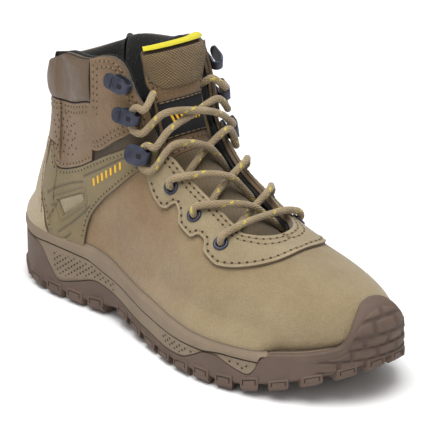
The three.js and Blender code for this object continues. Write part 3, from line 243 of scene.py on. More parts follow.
class Form:
    def __init__(self):
        self.place = np.zeros((2, len(S_ALL), ROWS, 3))
        self.total = np.zeros((2, len(S_ALL)))
        for k, side in enumerate(SIDES):
            raw = form_sections(side)
            length = run_across(raw)
            self.total[k] = length[:, -1]
            for i in range(len(S_ALL)):
                even = np.linspace(0, length[i, -1], ROWS)
                for axis in range(3):
                    self.place[k, i, :, axis] = np.interp(even, length[i], raw[i, :, axis])
            climbs = self.total[k][:, None] * np.linspace(0, 1, ROWS)[None]
            self.place[k] = flared(self.place[k], climbs, side)
        along = np.gradient(self.place, axis=1)
        up = np.gradient(self.place, axis=2)
        normal = np.cross(along, up)
        normal[1] *= -1
        size = np.linalg.norm(normal, axis=3, keepdims=True)
        normal /= np.maximum(size, 1e-12)
        for row in (0, -1):            # the two sides share their end stations
            shared = normal[0, row] + normal[1, row]
            normal[:, row] = shared / np.linalg.norm(shared, axis=1, keepdims=True)
        ball = int(round((BALL_S + HEEL_SPAN) / S_STEP))
        heel_end = int(round(HEEL_SPAN / S_STEP))
        crest = normal[0, heel_end:ball + 1, -1] + normal[1, heel_end:ball + 1, -1]
        crest[:, 1] *= 0.3
        normal[:, heel_end:ball + 1, -1] = crest / np.linalg.norm(crest, axis=1, keepdims=True)
        normal[:, ball + 1:, -1] = normal[0, ball, -1]
        self.normal = normal
        self.reach = np.where(S_ALL[None, :, None] > BALL_S,
                              np.hypot(self.place[..., 0] - BALL_X,
                                       self.place[..., 1] - swing(self.place[..., 0])),
                              np.abs(self.place[..., 1] - swing(self.place[..., 0])))

    def _station(self, s, side):
        f = np.clip((s + HEEL_SPAN) / S_STEP, 0, len(S_ALL) - 1.000001)
        i = f.astype(int)
        return (side > 0).astype(int), i, f - i

    def length(self, s, side):
        k, i, a = self._station(s, side)
        return self.total[k, i] * (1 - a) + self.total[k, i + 1] * a

    def spot(self, s, side, climb):
        """Points and outward normals, in millimetres."""
        s, side, climb = np.broadcast_arrays(np.asarray(s, float), side, climb)
        k, i, a = self._station(s, side)
        g = np.clip(climb / self.length(s, side), 0, 1) * (ROWS - 1)
        j = np.minimum(g.astype(int), ROWS - 2)
        a, b = a[..., None], (g - j)[..., None]

        def mix(table):
            return ((table[k, i, j] * (1 - b) + table[k, i, j + 1] * b) * (1 - a)
                    + (table[k, i + 1, j] * (1 - b) + table[k, i + 1, j + 1] * b) * a)
        normal = mix(self.normal)
        return mix(self.place), normal / np.linalg.norm(normal, axis=-1, keepdims=True)

    def _column(self, table, s, side):
        k, i, a = self._station(s, side)
        return table[k, i] * (1 - a)[:, None] + table[k, i + 1] * a[:, None]

    def at_height(self, s, side, z):
        s, side, z = np.broadcast_arrays(np.asarray(s, float), side, z)
        column = self._column(self.place[..., 2], s.ravel(), side.ravel())
        z = z.ravel()
        above = column >= z[:, None]
        j = np.where(above.any(1), above.argmax(1), ROWS - 1)
        j = np.maximum(j, 1)
        n = np.arange(len(j))
        low, high = column[n, j - 1], column[n, j]
        t = np.clip((z - low) / np.maximum(high - low, 1e-9), 0, 1)
        return ((j - 1 + t) / (ROWS - 1) * self.length(s.ravel(), side.ravel())).reshape(s.shape)

    def at_reach(self, s, side, reach):
        s, side, reach = np.broadcast_arrays(np.asarray(s, float), side, reach)
        column = self._column(self.reach, s, side)
        outside = column >= reach[:, None]
        i = np.minimum(ROWS - 1 - outside[:, ::-1].argmax(1) + 1, ROWS - 1)
        n = np.arange(len(i))
        low, high = column[n, i - 1], column[n, i]
        t = np.clip((low - reach) / np.maximum(low - high, 1e-6), 0, 1)
        return (i - 1 + t) / (ROWS - 1) * self.length(s, side)

    def from_crest(self, s, side, down):
        return np.maximum(self.length(np.asarray(s, float), side) - down, 0)

    def feather(self, s, side):
        foot, _ = self.spot(s, side, 0.0)
        return self.at_height(s, side, foot[..., 2] + GAP)

    def opening(self, s, side, extra=0.0):
        reach = np.where(s > BALL_S, throat_reach(s), edge_reach(HEEL_X + s))
        return self.at_reach(s, side, reach + extra)

    def top(self, s, side, extra=0.0):
        foot, _ = self.spot(s, side, 0.0)
        heel = np.clip(-s / HEEL_SPAN, 0, 1) * math.pi / 2
        over = np.where(s < 0, top_line(HEEL_X - 28 * np.sin(heel)), top_line(foot[..., 0]))
        by_height = self.at_height(s, side, over - extra)
        return np.where(s > 66, np.minimum(by_height, self.opening(s, side, extra)), by_height)


form = Form()


def heel_ring(front, step):
    """Stations from the lateral front edge, back round the heel, to the medial front edge."""
    half = np.linspace(-HEEL_SPAN, front, int((front + HEEL_SPAN) / step) + 2)
    return np.concatenate([half[::-1], half[1:]]), np.repeat([LATERAL, MEDIAL], [len(half), len(half) - 1])


def toe_ring(rear, step):
    """Stations from the lateral rear edge, forward round the toe, to the medial rear edge."""
    half = np.linspace(rear, TOE_S, int((TOE_S - rear) / step) + 2)
    return np.concatenate([half, half[::-1][1:]]), np.repeat([LATERAL, MEDIAL], [len(half), len(half) - 1])


def one_side(rear, front, side, step):
    s = np.linspace(rear, front, int((front - rear) / step) + 2)
    return s, np.full(len(s), side)


# ------ mesh tools
def select_only(piece):
    bpy.ops.object.select_all(action="DESELECT")
    piece.select_set(True)
    bpy.context.view_layer.objects.active = piece


def to_frame(points):
    return (np.asarray(points, float) + BOOT_CENTRE) * MM


def set_points(piece, points):
    piece.data.vertices.foreach_set("co", np.ascontiguousarray(points, np.float32).ravel())
    piece.data.update()


def get_points(mesh):
    out = np.empty(len(mesh.vertices) * 3, np.float32)
    mesh.vertices.foreach_get("co", out)
    return out.reshape(-1, 3).astype(float)


def set_attribute(piece, name, values):
    attribute = piece.data.attributes.new(name, "FLOAT", "POINT")
    attribute.data.foreach_set("value", np.ascontiguousarray(values, np.float32).ravel())


def set_uv(piece, uv):
    corners = np.empty(len(piece.data.loops), np.int32)
    piece.data.loops.foreach_get("vertex_index", corners)
    piece.data.uv_layers.active.data.foreach_set("uv", np.ascontiguousarray(uv[corners], np.float32).ravel())


def grid_piece(name, points, uv=None):
    """A grid primitive whose crossings are set to points, an array of (along, across, xyz) in millimetres."""
    n, m = points.shape[:2]
    bpy.ops.mesh.primitive_grid_add(x_subdivisions=m - 1, y_subdivisions=n - 1, size=1)
    piece = bpy.context.active_object
    piece.name = piece.data.name = name
    set_points(piece, to_frame(points.reshape(-1, 3)))
    if uv is not None:
        set_uv(piece, uv.reshape(-1, 2) * MM)
    return piece


def face_out(piece, outward):
    """Turns the faces so that they look along outward, one direction for each vertex."""
    normals = np.empty(len(piece.data.vertices) * 3, np.float32)
    piece.data.vertices.foreach_get("normal", normals)
    if (normals.reshape(-1, 3) * outward.reshape(-1, 3)).sum() < 0:
        piece.data.flip_normals()


def start_edit(piece):
    """Opens edit mode on the piece with all of it selected."""
    select_only(piece)
    bpy.ops.object.mode_set(mode="EDIT")
    bpy.ops.mesh.select_all(action="SELECT")


def end_edit(turn_out=True):
    """Turns all faces outward, unless told not to, and leaves edit mode."""
    if turn_out:
        bpy.ops.mesh.select_all(action="SELECT")
        bpy.ops.mesh.normals_make_consistent(inside=False)
    bpy.ops.object.mode_set(mode="OBJECT")


def pick_faces(piece, chosen):
    """Opens edit mode with only the chosen faces selected, given one truth value for each face."""
    select_only(piece)
    bpy.ops.object.mode_set(mode="EDIT")
    bpy.ops.mesh.select_mode(type="FACE")
    bpy.ops.mesh.select_all(action="DESELECT")
    bpy.ops.object.mode_set(mode="OBJECT")
    piece.data.polygons.foreach_set("select", chosen)
    bpy.ops.object.mode_set(mode="EDIT")


def apply_modifier(piece, kind, **settings):
    select_only(piece)
    modifier = piece.modifiers.new(kind.title(), kind)
    for key, value in settings.items():
        setattr(modifier, key, value)
    bpy.ops.object.modifier_apply(modifier=modifier.name)


def smooth(piece, angle=40):
    select_only(piece)
    bpy.ops.object.shade_smooth_by_angle(angle=math.radians(angle))


def thicken(piece, thickness, edge=0.45):
    """Gives a sheet its thickness inward, and rounds its cut edges."""
    apply_modifier(piece, "SOLIDIFY", thickness=thickness * MM, offset=-1, use_even_offset=False)
    if edge:
        apply_modifier(piece, "BEVEL", width=edge * MM, segments=2, limit_method="ANGLE",
                       angle_limit=math.radians(55), loop_slide=False)
    smooth(piece, 50)


def delete_faces(piece, test):
    """Removes the faces whose centre, in millimetres on the form, passes test."""
    count = len(piece.data.polygons)
    centres = np.empty(count * 3, np.float32)
    piece.data.polygons.foreach_get("center", centres)
    pick_faces(piece, test(centres.reshape(-1, 3) / MM - BOOT_CENTRE))
    bpy.ops.mesh.delete(type="FACE")
    end_edit(turn_out=False)


def merge_and_close(piece):
    """Merges the doubled seam of a wrapped grid, closes its open ends and turns its faces out."""
    start_edit(piece)
    bpy.ops.mesh.remove_doubles(threshold=1e-6)
    bpy.ops.mesh.fill_holes(sides=0)
    end_edit()


def wrapped_piece(name, points, uv):
    """A closed tube or pad: each row of points goes round it, and the first place is repeated last."""
    piece = grid_piece(name, np.concatenate([points, points[:, :1]], 1), uv)
    merge_and_close(piece)
    return piece


def made_piece(name, points, faces):
    """A piece from points in millimetres and lists of their numbers."""
    mesh = bpy.data.meshes.new(name)
    mesh.from_pydata(to_frame(points).tolist(), [], faces)
    mesh.update()
    piece = bpy.data.objects.new(name, mesh)
    bpy.context.scene.collection.objects.link(piece)
    return piece


def copies(name, template, placings):
    """One mesh of many copies of a small template. placings is a list of 4 by 4 arrays, to millimetres."""
    verts = get_points(template)
    faces = [tuple(p.vertices) for p in template.polygons]
    placings = np.asarray(placings, float)
    spread = np.einsum("nij,vj->nvi", placings[:, :3, :3], verts) + placings[:, None, :3, 3]
    all_faces = [tuple(i + k * len(verts) for i in face) for k in range(len(placings)) for face in faces]
    return made_piece(name, spread.reshape(-1, 3), all_faces)


def join(pieces, name):
    bpy.ops.object.select_all(action="DESELECT")
    for piece in pieces:
        piece.select_set(True)
    bpy.context.view_layer.objects.active = pieces[0]
    bpy.ops.object.join()
    pieces[0].name = pieces[0].data.name = name
    return pieces[0]


def basis(x, y, z, at):
    out = np.eye(4)
    out[:3, 0], out[:3, 1], out[:3, 2], out[:3, 3] = x, y, z, at
    return out


def unit(v):
    return v / np.maximum(np.linalg.norm(v, axis=-1, keepdims=True), 1e-12)


def finish_piece(piece, material, slot, *nodes, body="boot"):
    """Gives a piece its material and its body, and hides the CAD nodes that it stands for. slot is not used.
    """
    piece.data.materials.clear()
    piece.data.materials.append(material)
    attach(piece, body)
    if nodes:
        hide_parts(*nodes)
    return piece


def puff(piece, pinned, pressure, cap, growth=0.0):
    """Blows a pad's cover out with cloth simulation, holding the pinned vertices. cap limits the move."""
    group = piece.vertex_groups.new(name="pinned")
    group.add([int(i) for i in np.flatnonzero(pinned)], 1.0, "REPLACE")
    before = get_points(piece.data)
    select_only(piece)
    cloth = piece.modifiers.new("Cloth", "CLOTH")
    cloth.settings.quality = 6
    cloth.settings.vertex_group_mass = "pinned"
    cloth.settings.use_pressure = True
    cloth.settings.uniform_pressure_force = pressure
    cloth.settings.shrink_min = -growth
    cloth.settings.effector_weights.gravity = 0
    for number in range(1, 21):
        bpy.context.scene.frame_set(number)
    bpy.ops.object.modifier_apply(modifier=cloth.name)
    bpy.context.scene.frame_set(1)
    after = get_points(piece.data)
    move = after - before
    far = np.linalg.norm(move, axis=1, keepdims=True)
    move *= np.minimum(1, cap * MM / np.maximum(far, 1e-9))
    set_points(piece, before + move)
    piece.vertex_groups.clear()

# ------ finishes
def tone(red, green, blue):
    """A colour as it looks, 0 to 255, turned to the renderer's linear values."""
    def linear(v):
        v /= 255
        return v / 12.92 if v <= 0.04045 else ((v + 0.055) / 1.055) ** 2.4
    return linear(red), linear(green), linear(blue), 1.0


def shade(colour, change):
    """A tone made lighter or darker by change."""
    return tone(*[min(255, v + change) for v in colour])


class Finish:
    """A Principled material and short ways to add nodes to it."""

    def __init__(self, name, roughness, metallic=0.0, sheen=0.0, coat=0.0):
        self.material = bpy.data.materials.new(name)
        self.material.use_nodes = True
        self.tree = self.material.node_tree
        self.shader = self.tree.nodes["Principled BSDF"]
        self.shader.inputs["Roughness"].default_value = roughness
        self.shader.inputs["Metallic"].default_value = metallic
        self.shader.inputs["Sheen Weight"].default_value = sheen
        self.shader.inputs["Sheen Roughness"].default_value = 0.5
        self.shader.inputs["Coat Weight"].default_value = coat
        self.where = self.node("ShaderNodeTexCoord").outputs["Object"]
        self.uv = None

    def node(self, kind, props=None, **inputs):
        node = self.tree.nodes.new(kind)
        for key, value in (props or {}).items():
            setattr(node, key, value)
        for key, value in inputs.items():
            socket = node.inputs[int(key[1:])] if key[1:].isdigit() else node.inputs[key.replace("_", " ")]
            if isinstance(value, bpy.types.NodeSocket):
                self.tree.links.new(value, socket)
            else:
                socket.default_value = value
        return node

    def noise(self, scale, detail=3.0, roughness=0.55, where=None):
        return self.node("ShaderNodeTexNoise", Vector=where or self.where, Scale=scale, Detail=detail,
                         Roughness=roughness).outputs["Fac"]

    def cells(self, scale, where=None, feature="F1"):
        return self.node("ShaderNodeTexVoronoi", {"feature": feature}, Vector=where or self.where,
                         Scale=scale).outputs["Distance"]

    def span(self, value, low, high, to_low=0.0, to_high=1.0):
        node = self.node("ShaderNodeMapRange", i0=value, i1=low, i2=high, i3=to_low, i4=to_high)
        return node.outputs["Result"]

    def math(self, operation, a, b=0.0):
        return self.node("ShaderNodeMath", {"operation": operation}, i0=a, i1=b).outputs[0]

    def mix(self, share, a, b):
        """Colour b over colour a. A plain triple is how a colour looks, 0 to 255."""
        a, b = (tone(*c) if isinstance(c, tuple) and len(c) == 3 else c for c in (a, b))
        return self.node("ShaderNodeMix", {"data_type": "RGBA"}, i0=share, i6=a, i7=b).outputs[2]

    def attribute(self, name):
        return self.node("ShaderNodeAttribute", {"attribute_name": name}).outputs["Fac"]

    def cloth_plane(self):
        """The two directions of the cloth, in metres, from the piece's own UV map."""
        if self.uv is None:
            uv = self.node("ShaderNodeUVMap", {"uv_map": "UVMap"}).outputs["UV"]
            split = self.node("ShaderNodeSeparateXYZ", Vector=uv)
            self.uv = (split.outputs["X"], split.outputs["Y"], uv)
        return self.uv

    def lattice(self, pitch, slant=True, stretch=1.0):
        """Raised crossings of two sets of threads, from 0 in the gaps to 1 on top."""
        u, v, _ = self.cloth_plane()
        v = self.math("MULTIPLY", v, stretch)
        if slant:
            u, v = self.math("ADD", u, v), self.math("SUBTRACT", u, v)
        turn = math.pi / (pitch * MM)
        a = self.math("SINE", self.math("MULTIPLY", u, turn))
        b = self.math("SINE", self.math("MULTIPLY", v, turn))
        return self.math("ABSOLUTE", self.math("MULTIPLY", a, b))

    def bump(self, height, distance, strength=1.0, under=None):
        inputs = {"Height": height, "Distance": distance, "Strength": strength}
        if under is not None:
            inputs["Normal"] = under
        return self.node("ShaderNodeBump", **inputs).outputs["Normal"]

    def done(self, colour=None, normal=None, roughness=None):
        for name, socket in (("Base Color", colour), ("Normal", normal), ("Roughness", roughness)):
            if socket is not None:
                if isinstance(socket, bpy.types.NodeSocket):
                    self.tree.links.new(socket, self.shader.inputs[name])
                else:
                    self.shader.inputs[name].default_value = socket
        return self.material


def nubuck(name, light, dark, cut, grain=1.0, seed=0.0, rear_tone=None):
    """Sanded leather: cloudy tone, fine nap, pores, edges rubbed lighter and a dark cut side."""
    f = Finish(name, 0.88, sheen=0.22)
    shifted = f.node("ShaderNodeMapping", Vector=f.where,
                     Location=(seed, seed * 0.7, seed * 1.3)).outputs["Vector"]
    clouds = f.span(f.noise(17, 4, 0.6, shifted), 0.32, 0.68)
    mottle = f.span(f.noise(95, 5, 0.65, shifted), 0.3, 0.7)
    nap = f.noise(900, 4, 0.7, shifted)
    pores = f.span(f.cells(1500, shifted), 0.05, 0.45)
    colour = f.mix(clouds, dark, light)
    # with the rear tones, the piece turns darker and browner towards its rear
    if rear_tone:
        x = f.node("ShaderNodeSeparateXYZ", Vector=f.where).outputs["X"]
        rear = f.span(f.math("ADD", x, f.math("MULTIPLY", clouds, 0.03)), -0.01, 0.10, 1.0, 0.0)
        colour = f.mix(rear, colour, f.mix(clouds, rear_tone[1], rear_tone[0]))
    colour = f.mix(f.math("MULTIPLY", mottle, 0.22), colour, shade(light, 18))
    colour = f.mix(f.span(nap, 0.3, 0.7, 0.0, 0.3), colour, shade(dark, -30))
    colour = f.mix(f.span(pores, 0.0, 1.0, 0.22, 0.0), colour, shade(dark, -55))
    edge = f.attribute("edge")
    rubbed = f.span(edge, 0.5, 2.2, 0.38, 0.0)
    colour = f.mix(f.math("MULTIPLY", rubbed, mottle), colour, shade(light, 30))
    side = f.span(edge, 0.12, 0.5, 0.85, 0.0)
    colour = f.mix(side, colour, cut)
    creases = f.span(f.noise(230, 6, 0.72, shifted), 0.35, 0.65)
    normal = f.bump(creases, 0.00030 * grain, 0.7)
    normal = f.bump(nap, 0.00020 * grain, 0.8, normal)
    normal = f.bump(pores, 0.00010, 0.6, normal)
    return f.done(colour, normal, f.span(nap, 0.3, 0.7, 0.8, 0.97))


def smooth_leather():
    f = Finish("smooth_leather", 0.5, sheen=0.05)
    clouds = f.span(f.noise(22, 3), 0.3, 0.7)
    grain = f.node("ShaderNodeTexVoronoi", {"feature": "DISTANCE_TO_EDGE"}, Vector=f.where,
                   Scale=1150).outputs["Distance"]
    cells = f.span(grain, 0.0, 0.22)
    folds = f.noise(60, 3, 0.5)
    colour = f.mix(clouds, (85, 67, 49), (101, 81, 60))
    colour = f.mix(f.span(cells, 0, 1, 0.3, 0.0), colour, (72, 60, 50))
    # painted shade: darker within 2.6 mm of the cover's edges, where the puffed pad turns into its seams
    colour = f.mix(f.span(f.attribute("edge"), 0.0, 2.6, 0.55, 0.0), colour, (72, 58, 46))
    normal = f.bump(folds, 0.0007, 0.5)
    normal = f.bump(cells, 0.00009, 0.7, normal)
    return f.done(colour, normal, f.span(f.noise(160), 0.3, 0.7, 0.42, 0.6))


def band_finish():
    """Moulded synthetic with a fine brushed cloth face."""
    f = Finish("band_synthetic", 0.72, sheen=0.15)
    clouds = f.span(f.noise(30, 4), 0.3, 0.7)
    streak = f.node("ShaderNodeMapping", Vector=f.where, Rotation=(0, 0.75, 0),
                    Scale=(260, 260, 1500)).outputs["Vector"]
    brushed = f.noise(1.0, 4, 0.6, streak)
    weave = f.lattice(0.75)
    colour = f.mix(clouds, (114, 98, 62), (133, 115, 75))
    colour = f.mix(f.span(brushed, 0.3, 0.7, 0.0, 0.3), colour, (86, 76, 54))
    colour = f.mix(f.span(weave, 0.0, 1.0, 0.22, 0.0), colour, (70, 60, 44))
    # painted shade: the band's sunk lines are darker where they are deeper
    groove_shade = f.span(f.attribute("groove_shade"), 0.1, 0.8, 0.0, 0.75)
    colour = f.mix(groove_shade, colour, (64, 54, 38))
    colour = f.mix(f.span(f.attribute("edge"), 0.1, 0.6, 0.8, 0.0), colour, (66, 54, 38))
    normal = f.bump(weave, 0.00012, 0.7)
    normal = f.bump(brushed, 0.00012, 0.5, normal)
    return f.done(colour, normal)


def textile(name, light, dark, pitch, slant=True, stretch=1.0, depth=0.0004, sheen=0.15, fleck=0.25, gap=0.8):
    """Woven or knitted cloth: raised threads, dark gaps, uneven yarn."""
    f = Finish(name, 0.92, sheen=sheen)
    threads = f.lattice(pitch, slant, stretch)
    _, _, uv = f.cloth_plane()
    yarn = f.noise(2600, 3, 0.6, uv)
    clouds = f.span(f.noise(40, 3), 0.3, 0.7)
    colour = f.mix(clouds, shade(light, -8), light)
    colour = f.mix(f.span(yarn, 0.3, 0.7, 0.0, fleck), colour, dark)
    colour = f.mix(f.span(threads, 0.1, 0.6, gap, 0.0), colour, dark)
    normal = f.bump(threads, depth, 0.9)
    normal = f.bump(yarn, 0.0001, 0.6, normal)
    return f.done(colour, normal)


def spacer_mesh(name, light, dark, pitch, sheen=0.1):
    """Open air mesh: a net of round holes over a dark core."""
    f = Finish(name, 0.95, sheen=sheen)
    _, _, uv = f.cloth_plane()
    holes = f.cells(1000 / pitch, uv)
    net = f.span(holes, 0.12, 0.42)
    yarn = f.noise(2400, 3, 0.6, uv)
    colour = f.mix(net, dark, light)
    colour = f.mix(f.span(yarn, 0.3, 0.7, 0.0, 0.35), colour, dark)
    normal = f.bump(net, 0.0006, 0.8)
    normal = f.bump(yarn, 0.0001, 0.5, normal)
    return f.done(colour, normal)


def rubber(name, light, dark, shine, grain=0.00012, lines=False):
    f = Finish(name, shine)
    clouds = f.span(f.noise(26, 4), 0.3, 0.7)
    speckle = f.noise(1700, 3, 0.6)
    scuff = f.span(f.noise(140, 6, 0.7), 0.5, 0.72)
    colour = f.mix(clouds, dark, light)
    colour = f.mix(f.span(speckle, 0.35, 0.7, 0.0, 0.18), colour, shade(dark, -26))
    colour = f.mix(f.math("MULTIPLY", scuff, 0.22), colour, shade(light, 22))
    # painted shade: grooves, sunk lines and joins are darkened by their groove values
    colour = f.mix(f.span(f.attribute("groove_shade"), 0.05, 0.9, 0.0, 0.7), colour,
                   tone(*[v * 0.52 for v in dark]))
    normal = f.bump(speckle, grain, 0.7)
    if lines:
        ribs = f.node("ShaderNodeTexWave", {"wave_type": "BANDS", "bands_direction": "Z"}, Vector=f.where,
                      Scale=260.0, Distortion=1.4, Detail=2.0).outputs["Fac"]
        normal = f.bump(ribs, 0.00010, 0.5, normal)
    return f.done(colour, normal, f.span(scuff, 0, 1, shine, min(1, shine + 0.15)))


def metal(name, light, dark, roughness, metallic=0.85):
    f = Finish(name, roughness, metallic=metallic)
    blotch = f.span(f.noise(160, 5, 0.6), 0.3, 0.7)
    scratch = f.node("ShaderNodeMapping", Vector=f.where, Rotation=(0.3, 0.4, 0.2),
                     Scale=(300, 4200, 4200)).outputs["Vector"]
    lines = f.noise(1.0, 3, 0.6, scratch)
    colour = f.mix(blotch, dark, light)
    normal = f.bump(lines, 0.00003, 0.5)
    return f.done(colour, normal, f.span(blotch, 0, 1, roughness, roughness + 0.16))


def lace_finish():
    """A round braid: slanting plaits of beige yarn, with a yellow tracer that turns round it."""
    f = Finish("lace_braid", 0.85, sheen=0.2)
    u, v, _ = f.cloth_plane()             # u runs along the lace in metres, and v round it, 0.01 for a turn
    turn = f.math("MULTIPLY", v, 100 * 2 * math.pi)
    run = f.math("MULTIPLY", u, 2 * math.pi / 0.0058)
    left = f.math("SINE", f.math("ADD", run, f.math("MULTIPLY", turn, 4)))
    right = f.math("SINE", f.math("SUBTRACT", run, f.math("MULTIPLY", turn, 4)))
    plait = f.math("ABSOLUTE", f.math("MULTIPLY", left, right))
    yarn = f.noise(3000, 2, 0.6)
    colour = f.mix(f.span(f.noise(60, 3), 0.3, 0.7), (138, 119, 90), (166, 147, 114))
    colour = f.mix(f.span(yarn, 0.3, 0.7, 0.0, 0.35), colour, (122, 102, 76))
    colour = f.mix(f.span(plait, 0.0, 0.3, 0.55, 0.0), colour, (92, 74, 52))
    helix = f.math("SINE", f.math("ADD", f.math("MULTIPLY", u, 2 * math.pi / 0.024), turn))
    dash = f.math("SINE", f.math("MULTIPLY", u, 2 * math.pi / 0.0047))
    tracer = f.math("MULTIPLY", f.span(helix, 0.88, 0.95), f.span(dash, -0.2, 0.1))
    colour = f.mix(f.math("MULTIPLY", tracer, 0.8), colour, (196, 176, 62))
    normal = f.bump(plait, 0.00045, 0.9)
    normal = f.bump(yarn, 0.00008, 0.6, normal)
    return f.done(colour, normal)


def thread_finish(name, light, dark):
    f = Finish(name, 0.75, sheen=0.1)
    twist = f.node("ShaderNodeTexWave", {"wave_type": "BANDS", "bands_direction": "DIAGONAL"}, Vector=f.where,
                   Scale=900.0, Distortion=1.0).outputs["Fac"]
    colour = f.mix(twist, dark, light)
    return f.done(colour, f.bump(twist, 0.0001, 0.6))


# A dark colour that paints the shade inside holes, dimples and slots.
def shade_in_hole(name, colour):
    f = Finish(name, 0.95)
    return f.done(f.mix(f.noise(800), colour, shade(colour, 14)),
                  f.bump(f.noise(1400), 0.0001, 0.5))


NUBUCK_TAN = nubuck("nubuck_tan", (147, 131, 100), (128, 111, 81), (84, 66, 46),
                    rear_tone=((142, 115, 81), (123, 95, 64)))
NUBUCK_ANKLE = nubuck("nubuck_ankle", (124, 98, 66), (107, 82, 56), (72, 54, 37), seed=0.53)
NUBUCK_KHAKI = nubuck("nubuck_khaki", (151, 136, 107), (131, 116, 87), (92, 72, 52), seed=0.31)
NUBUCK_HEEL = nubuck("nubuck_stippled", (172, 154, 124), (150, 132, 102), (98, 80, 58), grain=1.5, seed=0.77)
SMOOTH = smooth_leather()
BAND = band_finish()
BROWN_CLOTH = textile("brown_textile", (112, 94, 68), (50, 38, 24), 1.15, depth=0.0005)
TONGUE_CLOTH = textile("tongue_knit", (140, 120, 86), (62, 47, 29), 1.3, stretch=1.25, depth=0.0006)
TOP_CLOTH = textile("basket_weave", (147, 122, 81), (56, 41, 25), 1.9, stretch=0.8, depth=0.0008)
BLACK_MESH = spacer_mesh("black_air_mesh", (20, 21, 18), (6, 6, 5), 1.7)
YELLOW_CLOTH = textile("yellow_lining", (226, 214, 40), (160, 148, 20), 0.9, depth=0.0002, fleck=0.15,
                       gap=0.4)
GUSSET_CLOTH = textile("gusset_cloth", (44, 40, 32), (16, 14, 11), 0.9, depth=0.0002)
FOOT_CLOTH = textile("footbed_cloth", (70, 70, 66), (26, 26, 25), 1.2, depth=0.0003)
LABEL_CLOTH = textile("label_satin", (30, 30, 33), (12, 12, 14), 0.45, slant=False, depth=0.0001, sheen=0.05)
MARK_CLOTH = textile("mark_yellow", (238, 186, 40), (190, 140, 22), 0.5, depth=0.0001, fleck=0.1, gap=0.2)
MIDSOLE = rubber("midsole_foam", (132, 115, 96), (118, 102, 84), 0.72, lines=True)
RUBBER = rubber("outsole_rubber", (98, 80, 68), (84, 67, 56), 0.7)
HARDWARE = metal("gunmetal", (80, 83, 96), (54, 57, 68), 0.42)
STEEL = metal("bare_steel", (176, 178, 182), (140, 143, 148), 0.3, 1.0)
BOARD = textile("fibre_board", (190, 178, 152), (140, 128, 104), 2.2, depth=0.0001, sheen=0.0, gap=0.3)
LACE = lace_finish()
TIP = metal("lace_tip", (150, 132, 96), (112, 96, 66), 0.35, 0.2)
THREAD = thread_finish("thread_tan", (150, 130, 98), (108, 89, 64))
# painted shade inside needle holes, vent holes and midsole dimples
HOLE_SHADE = shade_in_hole("needle_hole", (46, 32, 20))
# painted shade inside the slots of the lace hooks
SLOT_SHADE = shade_in_hole("recess_shade", (18, 18, 22))

# ------ stitching
def thread_shape():
    """One stitch, 1 long and 1 wide, lying along X: a rounded bar that dips at its ends."""
    bpy.ops.mesh.primitive_cylinder_add(vertices=7, radius=0.5, depth=1, rotation=(0, math.pi / 2, 0),
                                        end_fill_type="NGON")
    piece = bpy.context.active_object
    select_only(piece)
    bpy.ops.object.transform_apply(location=True, rotation=True, scale=True)
    start_edit(piece)
    bpy.ops.mesh.subdivide(number_cuts=1)
    end_edit(turn_out=False)
    points = get_points(piece.data)
    share = np.abs(points[:, 0]) * 2
    narrow = 1 - 0.45 * share ** 3
    points[:, 1] *= narrow
    points[:, 2] = points[:, 2] * narrow * 0.9 - 0.32 * share ** 2.5
    set_points(piece, points)
    return lift_off(piece)


def dimple_shape():
    """A shallow round hole, 1 across: a low disc whose rim stands just proud of its sunk top."""
    bpy.ops.mesh.primitive_circle_add(vertices=10, radius=0.5, fill_type="NGON")
    piece = bpy.context.active_object
    start_edit(piece)
    bpy.ops.mesh.extrude_region_move(TRANSFORM_OT_translate={"value": (0, 0, 0.12)})
    bpy.ops.mesh.inset(thickness=0.12, depth=0.0)
    bpy.ops.mesh.inset(thickness=0.1, depth=-0.05)
    bpy.ops.mesh.select_all(action="SELECT")
    bpy.ops.transform.translate(value=(0, 0, -0.1))
    end_edit()
    return lift_off(piece)


def lift_off(piece):
    """Takes the finished template's mesh out of the scene."""
    mesh = piece.data
    bpy.data.objects.remove(piece)
    return mesh


FINE_SEAM = dict(pitch=3.9, hole=(1.6, 1.1), width=0.85)
BAND_SEAM = dict(pitch=3.6, hole=(1.5, 1.0), width=0.8)
SEAM_LIFT, SEAM_ROWS = 0.05, (2.6, 6.0)
STITCH = thread_shape()
DIMPLE = dimple_shape()
threads = {"boot": [], "tongue": []}
needle_holes = {"boot": [], "tongue": []}


def sew(points, normals, body="boot", pitch=4.0, hole=(1.2, 0.9), width=0.85, phase=0.5):
    """Stitches along a line of dense points: threads with a needle hole between each two, its darkness
    painted shade.
    """
    run = run_along(points)
    count = int(run[-1] / pitch)
    if count < 1:
        return
    pitch = run[-1] / count
    tangent = unit(np.gradient(points, axis=0))

    def at(places):
        p = np.stack([np.interp(places, run, points[:, k]) for k in range(3)], 1)
        t = unit(np.stack([np.interp(places, run, tangent[:, k]) for k in range(3)], 1))
        n = np.stack([np.interp(places, run, normals[:, k]) for k in range(3)], 1)
        n = unit(n - t * (n * t).sum(1, keepdims=True))
        return p, t, np.cross(n, t), n
    length = pitch - hole[0] * 0.55
    p, t, b, n = at((np.arange(count) + phase) * pitch)
    threads[body] += [basis(t[i] * length, b[i] * width, n[i] * width * 0.75, p[i] + n[i] * 0.12)
                      for i in range(count)]
    p, t, b, n = at(np.clip((np.arange(count + 1) + phase - 0.5) * pitch, 0.5, run[-1] - 0.5))
    needle_holes[body] += [basis(t[i] * hole[0], b[i] * hole[1], n[i], p[i] + n[i] * 0.07)
                           for i in range(count + 1)]


